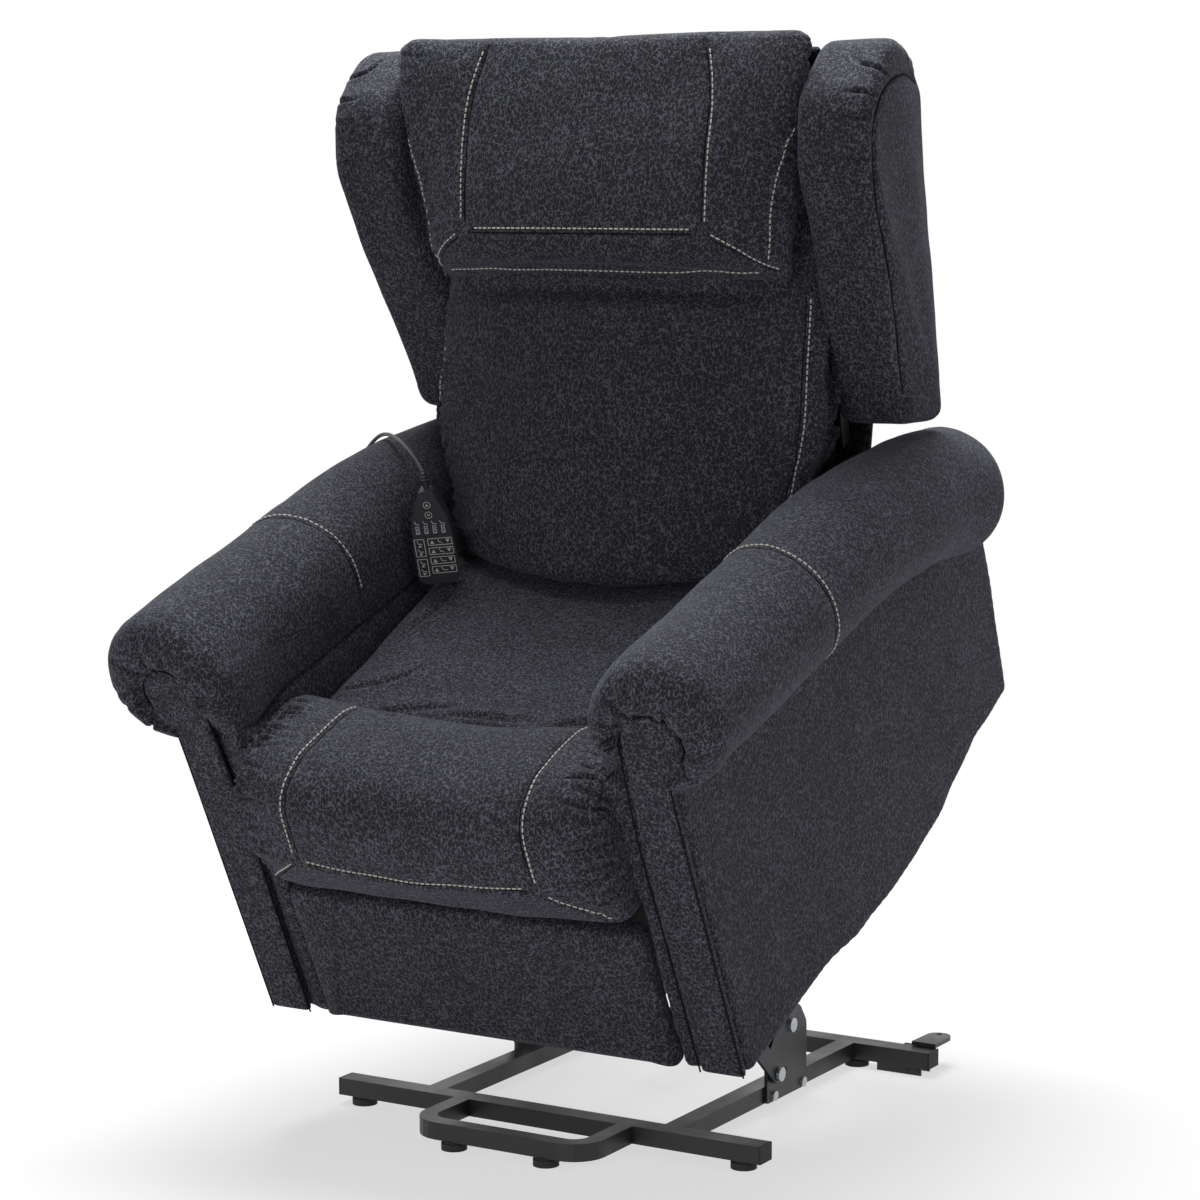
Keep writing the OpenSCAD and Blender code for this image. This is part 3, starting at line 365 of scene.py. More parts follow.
def chenille(name, stretch):
    """Fabric whose pale strokes follow the edges of wandering Voronoi cells 6.3 mm wide, broken up
    by a noise. The real strokes are 1.5 mm wide; they are drawn a little coarser so that they show."""
    material, tree, shader = finish(name, "#2a2b31", 0.9, Sheen_Weight=0.25, Sheen_Roughness=0.4,
                                    Sheen_Tint=linear("#9a9cac"), Specular_IOR_Level=0.2)
    place = add(tree, "TexCoord").outputs["Object"]
    drawn = add(tree, "Mapping", {"Vector": place, "Scale": stretch}).outputs[0]
    wander = add(tree, "TexNoise", {"Vector": drawn, "Scale": 210.0, "Detail": 0.0}).outputs["Color"]
    strayed = add(tree, "VectorMath", {0: wander, 1: (0.008, 0.008, 0.008), 2: drawn},
                  operation="MULTIPLY_ADD").outputs[0]
    edge = add(tree, "TexVoronoi", {"Vector": strayed, "Scale": 158.0},
               feature="DISTANCE_TO_EDGE").outputs["Distance"]
    stroke = add(tree, "MapRange", {"Value": edge, "From Min": 0.02, "From Max": 0.125, "To Min": 1.0,
                                    "To Max": 0.0}, interpolation_type="SMOOTHSTEP").outputs[0]
    gaps = add(tree, "TexNoise", {"Vector": drawn, "Scale": 330.0, "Detail": 0.0}).outputs[0]
    kept = add(tree, "MapRange", {"Value": gaps, "From Min": 0.38, "From Max": 0.5, "To Min": 0.2,
                                  "To Max": 1.0}, interpolation_type="SMOOTHSTEP").outputs[0]
    worm = add(tree, "Math", {0: stroke, 1: kept}, operation="MULTIPLY").outputs[0]
    fleck = add(tree, "TexNoise", {"Vector": place, "Scale": 800.0, "Detail": 2.0}).outputs[0]
    nap = add(tree, "TexNoise", {"Vector": place, "Scale": 9.0, "Detail": 2.0}).outputs[0]
    yarn = add(tree, "Mix", {0: worm, 6: linear("#212227"), 7: linear("#5b5c65")},
               data_type="RGBA").outputs[2]
    soft = add(tree, "MapRange", {"Value": fleck, "From Min": 0.25, "From Max": 0.75,
                                  "To Min": 0.75, "To Max": 1.25}).outputs[0]
    lie = add(tree, "MapRange", {"Value": nap, "From Min": 0.3, "From Max": 0.7, "To Min": 0.94,
                                 "To Max": 1.06}, interpolation_type="SMOOTHSTEP").outputs[0]
    shade = add(tree, "Math", {0: soft, 1: lie}, operation="MULTIPLY").outputs[0]
    dyed = add(tree, "VectorMath", {0: yarn, 1: shade}, operation="MULTIPLY").outputs[0]
    tree.links.new(dyed, shader.inputs["Base Color"])
    pile = add(tree, "Math", {0: fleck, 1: 0.3}, operation="MULTIPLY").outputs[0]
    height = add(tree, "Math", {0: worm, 1: pile}, operation="ADD").outputs[0]
    bump = add(tree, "Bump", {"Height": height, "Distance": 0.0009, "Strength": 0.8}).outputs[0]
    tree.links.new(bump, shader.inputs["Normal"])
    return material


fabric = chenille("charcoal_chenille", (1.0, 1.0, 0.72))


def points_of(piece):
    """The piece's vertices as an (n, 3) array."""
    co = np.empty(len(piece.data.vertices) * 3, np.float32)
    piece.data.vertices.foreach_get("co", co)
    return co.reshape(-1, 3).astype(float)


def normals_of(piece):
    """The piece's vertex normals as an (n, 3) array."""
    normal = np.empty(len(piece.data.vertices) * 3, np.float32)
    piece.data.vertex_normals.foreach_get("vector", normal)
    return normal.reshape(-1, 3).astype(float)


def put(piece, co):
    """Gives the piece's vertices their new places."""
    piece.data.vertices.foreach_set("co", np.asarray(co, np.float32).ravel())
    piece.data.update()


def applied(piece):
    """Makes the mesh that the modifiers give the piece's own mesh, and clears them."""
    bpy.context.view_layer.update()
    graph = bpy.context.evaluated_depsgraph_get()
    mesh = bpy.data.meshes.new_from_object(piece.evaluated_get(graph))
    piece.modifiers.clear()
    piece.data = mesh
    mesh.shade_smooth()
    return piece


def profile(corners):
    """A closed outline, straight between its corners (a, b, radius). Each corner is rounded by the
    parabola (1 - t)^2 P + 2 t (1 - t) Q + t^2 R, where P and R are the ends of the true arc."""
    q, radius = np.array(corners, float)[:, :2], np.array(corners, float)[:, 2]
    back, ahead = np.roll(q, 1, 0) - q, np.roll(q, -1, 0) - q
    long_back, long_ahead = np.linalg.norm(back, axis=1), np.linalg.norm(ahead, axis=1)
    back, ahead = back / long_back[:, None], ahead / long_ahead[:, None]
    half = np.arccos(np.clip((back * ahead).sum(1), -1, 1)) / 2
    trim = np.minimum(radius / np.tan(half), 0.49 * np.minimum(long_back, long_ahead))[:, None]
    t = np.linspace(0, 1, 9)[None, :, None]
    arc = (1 - t) ** 2 * (q + back * trim)[:, None] + 2 * t * (1 - t) * q[:, None]
    return (arc + t * t * (q + ahead * trim)[:, None]).reshape(-1, 2)


def stuffed(name, corners, half, edge, middle=0, bend=None, place=on_chair, voxel=6.0):
    """A cushion blank. The closed outline in mm is carried across from middle - half to middle +
    half; within edge of each end it is drawn inwards by a quarter circle. bend(x, line) may move
    each ring, x being -1 to 1 across. The blank is then remeshed with square faces of voxel mm."""
    line = profile(corners)
    line = np.vstack([line, line[:1]])
    run = run_along(line)
    line = sampled(line, run, np.linspace(0, run[-1], 240, endpoint=False))
    along = unit(np.roll(line, -1, 0) - np.roll(line, 1, 0))
    area = np.sum(line[:, 0] * np.roll(line[:, 1], -1) - np.roll(line[:, 0], -1) * line[:, 1])
    inward = np.stack([-along[:, 1], along[:, 0]], 1) * np.sign(area)
    angle = np.linspace(0, math.pi / 2, 9)
    ends = (1 - np.cos(angle)) * edge
    across = np.concatenate([-half + ends[:-1], np.linspace(edge - half, half - edge, 60),
                             half - ends[::-1][1:]])
    into = np.clip((np.abs(across) - (half - edge)) / edge, 0, 1)
    inset = edge * (1 - np.sqrt(1 - into ** 2))
    rings = line[None] + inward[None] * inset[:, None, None]
    if bend:
        rings = bend((across / half)[:, None], rings)
    wide = np.broadcast_to(across[:, None, None] + middle, rings.shape[:2] + (1,))
    piece = skin(name, place(np.concatenate([wide, rings], -1)), fabric)
    if voxel:
        remesh = piece.modifiers.new("remesh", "REMESH")
        remesh.mode = "VOXEL"
        remesh.voxel_size = voxel / 1000
        piece = applied(piece)
    return piece


def smoothed(piece, rounds, factor=0.5):
    """Evens the remeshed skin out."""
    smooth = piece.modifiers.new("smooth", "SMOOTH")
    smooth.iterations = rounds
    smooth.factor = factor
    return applied(piece)


def subdivided(piece):
    """One level of subdivision, applied."""
    finer = piece.modifiers.new("finer", "SUBSURF")
    finer.levels = finer.render_levels = 1
    return applied(piece)


def nearest(co, line):
    """For each point the distance to a line of close points, and the index of its nearest one."""
    distance, index = [], []
    for part in np.array_split(co, max(1, len(co) // 8000)):
        square = ((part ** 2).sum(1)[:, None] + (line ** 2).sum(1)[None] - 2 * part @ line.T)
        index.append(square.argmin(1))
        distance.append(np.sqrt(np.maximum(square.min(1), 0)))
    return np.concatenate(distance), np.concatenate(index)


def evenly(line, step):
    """The same line with points at equal spacing."""
    run = run_along(line)
    return sampled(line, run, np.linspace(0, run[-1], max(2, int(round(run[-1] / step)) + 1)))


def on_skin(piece, line):
    """The nearest points of the piece's surface to a line, with the surface's normals there."""
    bm = bmesh.new()
    bm.from_mesh(piece.data)
    tree = BVHTree.FromBMesh(bm)
    bm.free()
    hits = [tree.find_nearest(p) for p in line]
    return np.array([h[0] for h in hits]), np.array([h[1] for h in hits])


def traced(piece, line, aside=0.0):
    """The line laid on the surface and evened out by a moving mean over nine of its points, with
    its normals. aside moves it that many mm to the right of its own direction, seen from outside."""
    line = evenly(line, 0.004)
    for step in (aside / 1000, 0.0):
        place, normal = on_skin(piece, line)
        for data in (place, normal):
            padded = np.concatenate([data[:1].repeat(4, 0), data, data[-1:].repeat(4, 0)])
            data[:] = sum(padded[k:k + len(data)] for k in range(9)) / 9
        way = np.gradient(place, axis=0)
        side = np.cross(way, normal)
        line = place + step * side / np.linalg.norm(side, axis=1)[:, None]
    return on_skin(piece, line)[0], normal


def inflated(piece, seams, cap, held=None, pressure=4.0):
    """Blows the blank up as sewn fabric: Cloth with pressure and no gravity, held within 5 mm of
    its seams and wherever held says, for 20 frames; no point moves further than cap in mm."""
    start = points_of(piece)
    pinned = np.zeros(len(start), bool) if held is None else held(start)
    for seam in seams:
        pinned |= nearest(start, evenly(seam, 0.004))[0] < 0.005
    group = piece.vertex_groups.new(name="held")
    group.add(np.flatnonzero(pinned).tolist(), 1.0, "REPLACE")
    cloth = piece.modifiers.new("cloth", "CLOTH")
    cloth.settings.quality = 4
    cloth.settings.vertex_group_mass = "held"
    cloth.settings.use_pressure = True
    cloth.settings.uniform_pressure_force = pressure
    cloth.settings.effector_weights.gravity = 0
    cloth.settings.tension_stiffness = cloth.settings.compression_stiffness = 12
    cloth.collision_settings.use_collision = False
    for step in range(1, 21):
        bpy.context.scene.frame_set(step)
    graph = bpy.context.evaluated_depsgraph_get()
    mesh = piece.evaluated_get(graph).to_mesh()
    co = np.empty(len(start) * 3, np.float32)
    mesh.vertices.foreach_get("co", co)
    moved = co.reshape(-1, 3) - start
    length = np.linalg.norm(moved, axis=1)[:, None]
    moved *= np.minimum(1, cap / 1000 / np.maximum(length, 1e-9))
    piece.modifiers.clear()
    piece.vertex_groups.clear()
    put(piece, start + moved)
    bpy.context.scene.frame_set(1)


def seamed(piece, line, depth, width):
    """Pulls the skin in along a seam by depth * exp(-(distance / width) ^ 2), in mm."""
    co = points_of(piece)
    distance = nearest(co, evenly(line, 0.003))[0]
    put(piece, co - normals_of(piece) * (depth / 1000 * np.exp(-(distance * 1000 / width) ** 2))[:, None])


def ramp(value, low, high):
    """0 below low, 1 above high and 3 t^2 - 2 t^3 between them."""
    t = np.clip((value - low) / (high - low), 0, 1)
    return t * t * (3 - 2 * t)


def gathered(piece, line, reach, pitch, depth, seed, slant=0.0, narrow=3.2, lift=0.35):
    """Folds that run out from a gathered seam: grooves about pitch apart along the line, each
    exp(-(offset / narrow) ^ 2) - lift * exp(-(offset / (2.4 narrow)) ^ 2) across, so that it has
    raised shoulders. They start within 7 mm of the line and fade over reach."""
    random = np.random.default_rng(seed)
    close = evenly(line, 0.002)
    co = points_of(piece)
    distance, index = nearest(co, close)
    distance = distance * 1000
    folds = np.cumsum(random.uniform(0.6, 1.4, int(len(close) * 2 / pitch) + 2)) * pitch
    weights = random.uniform(0.5, 1.0, len(folds))
    lengths = reach * random.uniform(0.6, 1.15, len(folds))
    leans = slant + random.uniform(-0.25, 0.25, len(folds))
    run = index * 2.0
    into = np.zeros(len(co))
    close_by = distance < reach * 2
    for fold, weight, length, lean in zip(folds, weights, lengths, leans):
        off = run[close_by] - fold - lean * distance[close_by]
        shape = np.exp(-(off / narrow) ** 2) - lift * np.exp(-(off / (2.4 * narrow)) ** 2)
        into[close_by] += weight / (1 - lift) * shape * np.exp(-(distance[close_by] / length) ** 2)
    into *= ramp(distance, 0, 7)
    put(piece, co - normals_of(piece) * (depth / 1000 * into)[:, None])


def creased(piece, lines, depth=4.0, width=4.5):
    """Short folds: each a groove exp(-(distance / width) ^ 2) less shoulder times the same at 2.6
    times the width. It is deepest in the middle of its line and gone at its ends."""
    shoulder = 0.35
    for line in lines:
        close = evenly(line, 0.002)
        co = points_of(piece)
        distance, index = nearest(co, close)
        distance = distance * 1000
        fade = np.sin(math.pi * np.clip(index / (len(close) - 1), 0.02, 0.98)) ** 0.6
        shape = np.exp(-(distance / width) ** 2) - shoulder * np.exp(-(distance / (2.6 * width)) ** 2)
        sunk = depth / (1000 * (1 - shoulder)) * fade * shape
        put(piece, co - normals_of(piece) * sunk[:, None])


def rumpled(piece, depth, seed):
    """Soft unevenness of a filled cover: 14 sine waves 60 to 190 mm long in random directions,
    added up and scaled so that the skin moves by depth mm at most."""
    random = np.random.default_rng(seed)
    co = points_of(piece)
    way = unit(random.normal(size=(14, 3)))
    waves = way * (2 * math.pi / random.uniform(0.06, 0.19, 14))[:, None]
    height = np.sin(co @ waves.T + random.uniform(0, 2 * math.pi, 14)).sum(1) / 14 ** 0.5
    put(piece, co + normals_of(piece) * (depth / 1000 * np.clip(height / 1.6, -1, 1))[:, None])


# Cotton topstitch: matt cream thread, slightly soiled along its twist.
thread = grained("cream_thread", "#c9c5b4", 0.8, 1400.0, 1.0, 0.0002, 0.6,
                 tones=("#a5a192", "#dedbcf"))

# Painted seam shade: an almost black, glossless colour for the cords laid in the seams' grooves, painted
# to stand in for the shade in those grooves.
painted_seam_shade = grained("painted_seam_shade", "#0e0e10", 0.95, 700.0, 1.0, 0.0002, 0.5,
                    tones=("#08080a", "#17171a"), Specular_IOR_Level=0.1)


def stitched(name, lines, body, pitch=8.0, long=5.8, thick=2.2):
    """A row of thread stitches along each (points, normals) line: a six-sided bead of the given
    length at each pitch, half sunk into the fabric. The bead is drawn twice as thick as thread."""
    angle = np.arange(6) * math.pi / 3
    rings = np.array([(-0.5, 0.45), (-0.3, 1.0), (0.3, 1.0), (0.5, 0.45)])
    co = []
    for line, normals in lines:
        run = run_along(line)
        at = np.arange(pitch / 2000, run[-1], pitch / 1000)
        centre = sampled(line, run, at)
        along = unit(sampled(line, run, at + 0.001) - sampled(line, run, at - 0.001))
        side = unit(np.cross(along, sampled(normals, run, at)))
        up = np.cross(side, along)
        bead = (centre[:, None, None] + along[:, None, None] * rings[None, :, 0, None, None] * long / 1000
                + (side[:, None, None] * np.cos(angle)[None, None, :, None]
                   + up[:, None, None] * np.sin(angle)[None, None, :, None])
                * rings[None, :, 1, None, None] * thick / 2000
                + up[:, None, None] * 0.0004)
        co.append(bead.reshape(-1, 3))
    co = np.concatenate(co)
    first = np.arange(len(co) // 24)[:, None, None] * 24
    i, j = np.arange(3)[None, :, None] * 6, np.arange(6)[None, None, :]
    right = (j + 1) % 6
    quads = np.stack([first + i + j, first + i + 6 + j, first + i + 6 + right, first + i + right], -1)
    cap = first[:, 0] + np.arange(6)[None]
    mesh = bpy.data.meshes.new(name)
    mesh.from_pydata(co, [], quads.reshape(-1, 4).tolist() + cap.tolist()
                     + (cap[:, ::-1] + 18).tolist())
    mesh.shade_smooth()
    piece = linked(name, mesh, thread)
    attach(piece, body)


def painted_shade_cords(name, lines, body, thick=1.8):
    """A six-sided cord of the given thickness along each (points, normals) line, lying in the
    seam's groove. Its near-black colour is painted shade, standing in for the shade of the groove."""
    angle = np.arange(6) * math.pi / 3
    co, faces, first = [], [], 0
    for line, normals in lines:
        along = np.gradient(line, axis=0)
        side = unit(np.cross(along, normals))
        up = unit(np.cross(side, along))
        turn = side[:, None] * np.cos(angle)[None, :, None] + up[:, None] * np.sin(angle)[None, :, None]
        co.append((line[:, None] + turn * thick / 2000).reshape(-1, 3))
        i, j = np.arange(len(line) - 1)[:, None] * 6 + first, np.arange(6)[None, :]
        right = (j + 1) % 6
        faces += np.stack([i + j, i + right, i + 6 + right, i + 6 + j], -1).reshape(-1, 4).tolist()
        faces += [list(range(first + 5, first - 1, -1)),
                  list(range(first + len(line) * 6 - 6, first + len(line) * 6))]
        first += len(line) * 6
    mesh = bpy.data.meshes.new(name)
    mesh.from_pydata(np.concatenate(co), [], faces)
    bm = bmesh.new()
    bm.from_mesh(mesh)
    bmesh.ops.recalc_face_normals(bm, faces=bm.faces)
    bm.to_mesh(mesh)
    bm.free()
    mesh.shade_smooth()
    piece = linked(name, mesh, painted_seam_shade)
    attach(piece, body)


def upholstered(piece, body, fill, *replaced):
    """Moves a piece of chenille with its body and hides the nodes it stands for."""
    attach(piece, body)
    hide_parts(*replaced)


# ---------- Seat ----------
# A foam seat cushion lies on the springs between the arms. The front pad is a separate fibre-filled
# cover that runs over the seat's front edge, with a stitched middle panel and gathered ends.


def mirrored(line):
    """The same line on the other side of the chair."""
    return np.array(line, float) * (-1, 1, 1)


def sewn(piece, seams, aside=6.0, depth=3.4, width=3.6):
    """Sinks each seam line. Gives the lines of the topstitches, aside mm to the seams' right, and
    the seam lines themselves, all laid on the skin."""
    rows, edges = [], []
    for seam in seams:
        edges.append(traced(piece, seam)[0])
        rows.append(traced(piece, seam, aside)[0])
    for edge in edges:
        seamed(piece, edge, depth, width)
    return [traced(piece, row) for row in rows], [traced(piece, edge) for edge in edges]


def laid(place, *lines):
    """Smooth lines through the given points in mm, placed by on_chair or by the back's shape."""
    return [place(through(line, 14)) for line in lines]


def gathered_ends(piece, seams, reach, pitch, depth, seed, sink):
    """Gathers a cushion along the seams round its two ends and sinks those seams by sink mm."""
    for side, seam in enumerate(seams):
        close = traced(piece, seam)[0]
        gathered(piece, close, reach, pitch, depth, seed + side, narrow=3.8)
        seamed(piece, close, sink, 3.5)


seat = stuffed("seat_cushion_cover", [(132, 307, 12), (594, 307, 20), (566, 402, 40), (132, 402, 14)],
               284, 26, voxel=7.0)
front_edge = on_chair(through([(-281, 134, 396), (0, 134, 399), (281, 134, 396)], 20))
inflated(seat, [front_edge], 4)
seat = smoothed(subdivided(seat), 2)
creased(seat, [on_chair(through(line, 12)) for line in (
    [(-262, 190, 405), (-205, 215, 406), (-150, 262, 407)],
    [(-180, 150, 405), (-120, 168, 406), (-60, 176, 406)],
    [(-75, 150, 405), (-15, 163, 406), (70, 160, 406)],
    [(240, 180, 405), (190, 222, 406), (120, 250, 407)],
    [(90, 152, 405), (150, 176, 406), (215, 176, 406)],
    [(-240, 330, 405), (-225, 420, 405), (-235, 500, 405)])], 6.0, 6.5)
rumpled(seat, 2.5, 3)
upholstered(seat, "chair", 0.7, "seat_cushion")


def crowned(x, rings):
    """Sets the pad's ends back: its front by 26 x^4 mm, fading to nothing 110 mm behind it.
    Its upper rear edge curves back by 34 x^2 mm over the seat."""
    back = 26 * x[..., None] ** 4 * np.clip((30 - rings[..., :1]) / 110, 0, 1)
    behind = 34 * x[..., None] ** 2 * ramp(rings[..., :1], 40, 110) * ramp(rings[..., 1:], 400, 430)
    return rings + np.concatenate([back + behind, 0 * back], -1)


pad = stuffed("front_pad_cover", [(-46, 252, 26), (-82, 316, 36), (-80, 423, 72), (-18, 454, 60),
                                  (92, 454, 50), (124, 408, 12), (124, 307, 0), (30, 307, 0),
                                  (30, 250, 6)], 276, 20, bend=crowned)
pad_side = [(180, 128, 446), (177, 32, 456), (175, -40, 444), (175, -66, 408), (178, -82, 322)]
pad_low = [(178, -82, 322), (0, -82, 313), (-178, -82, 322)]
pad_diagonal = [(178, -82, 322), (224, -64, 286), (264, -34, 254)]
pad_end = [(256, 118, 438), (260, 40, 454), (262, -24, 444), (264, -52, 396), (264, -54, 330),
           (264, -34, 262)]
pad_right = mirrored(pad_side) + np.array([(24, 0, 0), (13, 0, 0), (4, 0, 0), (0, 0, 0), (0, 0, 0)])
pad_seams = laid(on_chair, pad_side[::-1], pad_right, pad_low, pad_diagonal[::-1],
                 mirrored(pad_diagonal))
pad_ends = laid(on_chair, pad_end, mirrored(pad_end))
inflated(pad, pad_seams + pad_ends, 8, held=lambda co: co[:, 2] < on_chair((0, 24, 260))[2])
pad = smoothed(subdivided(pad), 2)
gathered_ends(pad, pad_ends, 34, 17, 8.0, 11, 3.0)
rumpled(pad, 1.6, 5)
creased(pad, [on_chair(through(line, 10)) for line in (
    [(150, 124, 440), (120, 96, 450), (86, 84, 452)],
    [(-150, 124, 440), (-112, 92, 450), (-70, 86, 452)])], 4.0, 5)
rows, edges = sewn(pad, pad_seams)
upholstered(pad, "chair", 0.75, "front_pad")
stitched("front_pad_stitches", rows, "chair")
# Near-black cords in the pad's seam grooves: painted shade of the seams.
painted_shade_cords("front_pad_seam_shade", edges, "chair")

# ---------- Footrest ----------
# A padded board below the front pad, with the same fabric pulled round it. It hides the leg
# linkage and swings out on it.

leg_rest = stuffed("footrest_cover", [(-19, 6, 14), (14, 6, 8), (15, 225, 3), (-19, 225, 10)],
                   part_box("footrest_panel")[1][0] * 1000 - 10, 12, voxel=6.0)
inflated(leg_rest, [], 3, held=lambda co: co[:, 1] > on_chair((0, 8, 120))[1] + 0.04)
leg_rest = smoothed(subdivided(leg_rest), 2)
upholstered(leg_rest, "footrest", 0.6, "footrest_panel")

# ---------- Arms ----------
# Each arm is a boarded box with fabric drawn tight over thin padding. A foam roll is glued along its
# top, and the roll's cover is gathered round a padded facing at the front.

# The roll's axis in (back, up), 370 mm from the middle, and the round end of the facing's seam,
# whose centre lies across and up from that axis.
roll_axis = np.array([(-41, 538), (40, 538), (270, 511.4), (500, 484.9), (700, 431), (800, 389)])
roll_out, roll_radius, roll_cap = 370, 89.5, 62
lobe, lobe_radius = np.array((-12.0, -25.0)), 45.0


def roll_section(count):
    """The roll's closed section round its axis, in mm (across, up): a circle of roll_radius from
    its foot round the outside and over to its inner side, then down to the arm panel's top."""
    angle = np.radians(np.linspace(-90.5, 180, 120))
    circle = roll_radius * np.stack([np.cos(angle), np.sin(angle)], 1)
    rest = np.array([(-88.5, -20), (-86, -50), (-82, -75), (-60, -75.5), (-30, -75.5), (-1.2, -75.5)])
    line = np.vstack([circle, rest, circle[:1]])
    run = run_along(line)
    return sampled(line, run, np.linspace(0, run[-1], count, endpoint=False))


def roll_surface(count=300):
    """The roll's rings from its facing to its rear pole. In front, with r from 0 at the facing's
    seam to 1 at the roll's skin, the cover lies at 12 - 40 s sqrt(1 - r^2.6) + 15 exp(-(5 r)^2) mm,
    where s falls from 1 to 0.79 at the outer and 0.75 at the inner foot. By exp(-(9 r)^2) it comes
    to -13 mm at the seam, and at its inner foot it runs level into the arm's front edge at -10 mm.
    At the rear the section shrinks by cos^0.8 while it moves back by roll_cap times the sine."""
    section = roll_section(count)
    angle = np.degrees(np.arctan2(section[:, 1], section[:, 0]))
    inner = lobe + unit(section - lobe) * lobe_radius
    lip = np.where(section[:, 0] > 0, 0.45 + 0.55 * ramp(angle, -88, -30),
                   0.35 + 0.65 * ramp(section[:, 1], -75, -30))
    under = np.where((section[:, 1] < -75) & (section[:, 0] < 0), 0.0, 1.0)
    pinch = 3 * np.sin(np.pi * np.clip((-angle - 5) / 85, 0, 1))
    shrunk = section * (1 - pinch / 90)[:, None]
    foot = ramp(-section[:, 1], 30, 72) * (section[:, 0] < -20)
    shrunk[:, 1] -= 8 * foot
    shrunk[:, 0] -= 13 * ramp(-section[:, 1], -70, 10) * ramp(-section[:, 0], 20, 60)
    rings = []
    for t in np.linspace(0, 1, 5)[:-1]:
        rings.append(np.stack([lobe[0] + (inner[:, 0] - lobe[0]) * (0.2 + 0.8 * t),
                               np.full(count, 6 - 19 * t) * under + 2 * (1 - under),
                               lobe[1] + (inner[:, 1] - lobe[1]) * (0.2 + 0.8 * t)], -1))
    for r in np.sin(np.linspace(0, np.pi / 2, 56)) ** 0.85:
        out = 12 - 40 * math.sqrt(max(0, 1 - r ** 2.6)) * (0.62 + 0.38 * lip)
        out = out + 15 * math.exp(-(5 * r) ** 2)
        out = out + (-13 - out) * math.exp(-(9 * r) ** 2)
        out = out + (-10 - out) * foot
        flat = inner + (shrunk - inner) * r
        rings.append(np.stack([flat[:, 0], np.where(under > 0, out, 2), flat[:, 1]], -1))
    rings = [r + (roll_out, 0, roll_axis[0][1]) for r in rings]
    at = np.linspace(16, 800, 140)
    middle = through(roll_axis, 12)
    height = np.interp(at, middle[:, 0], middle[:, 1])
    lean = np.arctan(np.gradient(height, at) * np.clip((at - 20) / 200, 0, 1))
    for u, w, a in zip(at, height, lean):
        ring = section + (shrunk - section) * (1 - ramp(u, 16, 140))
        rings.append(np.stack([ring[:, 0] + roll_out, u - ring[:, 1] * math.sin(a),
                               w + ring[:, 1] * math.cos(a)], -1))
    a = lean[-1]
    end_u, end_w = roll_axis[-1]
    for turn in np.linspace(0, math.pi / 2, 16)[1:]:
        small, ahead = section * math.cos(turn) ** 0.8, roll_cap * math.sin(turn)
        rings.append(np.stack([small[:, 0] + roll_out,
                               end_u + ahead * math.cos(a) - small[:, 1] * math.sin(a),
                               end_w + ahead * math.sin(a) + small[:, 1] * math.cos(a)], -1))
    return np.array(rings)


lobe_angle = np.radians(np.linspace(-72, 196, 60))
lobe_seam = np.stack([roll_out + lobe[0] + lobe_radius * np.cos(lobe_angle), np.full(60, -13.0),
                      roll_axis[0][1] + lobe[1] + lobe_radius * np.sin(lobe_angle)], 1)
ring_angle = np.radians(np.linspace(-84, 206, 90))
ring_seam = np.stack([roll_out + 90 * np.cos(ring_angle), 313 - 11 * np.cos(ring_angle),
                      505 + 90 * np.sin(ring_angle)], 1)
panel_corners = [(2, 2, 8), (180, -5, 200), (240, -7, 80), (340, -27, 200), (480, -39, 200),
                 (620, -31, 200), (726, -5, 120), (768, 3, 60), (886, 5, 8),
                 (908, 274, 0), (893, 280, 0), (700, 353, 60), (500, 408, 60),
                 (40, 461, 0), (2, 461, 6)]
facing_seam = np.array([(x, -11.5, w) for x, w in (
    (304, 8), (304, 190), (303, 358), (310, 485), (315, 522), (337, 549), (362, 559), (383, 554),
    (398, 538), (402, 516), (396, 500), (376, 481), (369, 448), (367, 198), (366, 8))])
facing_corners = [(305, 6, 4), (368, 6, 4), (369, 200, 40), (371, 440, 30), (373, 470, 12),
                  (398, 480, 34), (401, 545, 44), (362, 558, 40), (318, 556, 40), (313, 480, 40),
                  (304, 340, 60)]


def banded(points):
    """Pads the panel's front inner corner: it stands forward by 12 mm and inwards by 19 mm beside
    the facing, and 0.6 of that beside the footrest."""
    x, u, w = points[..., 0], points[..., 1], points[..., 2]
    near = (1 - ramp(u, 10, 70)) * (0.6 + 0.4 * ramp(w, 230, 330))
    inside = 1 - ramp(x, 298, 312)
    return np.stack([x - 19 * near * inside, u - 12 * near * inside * (1 - ramp(u, 0, 40)), w], -1)


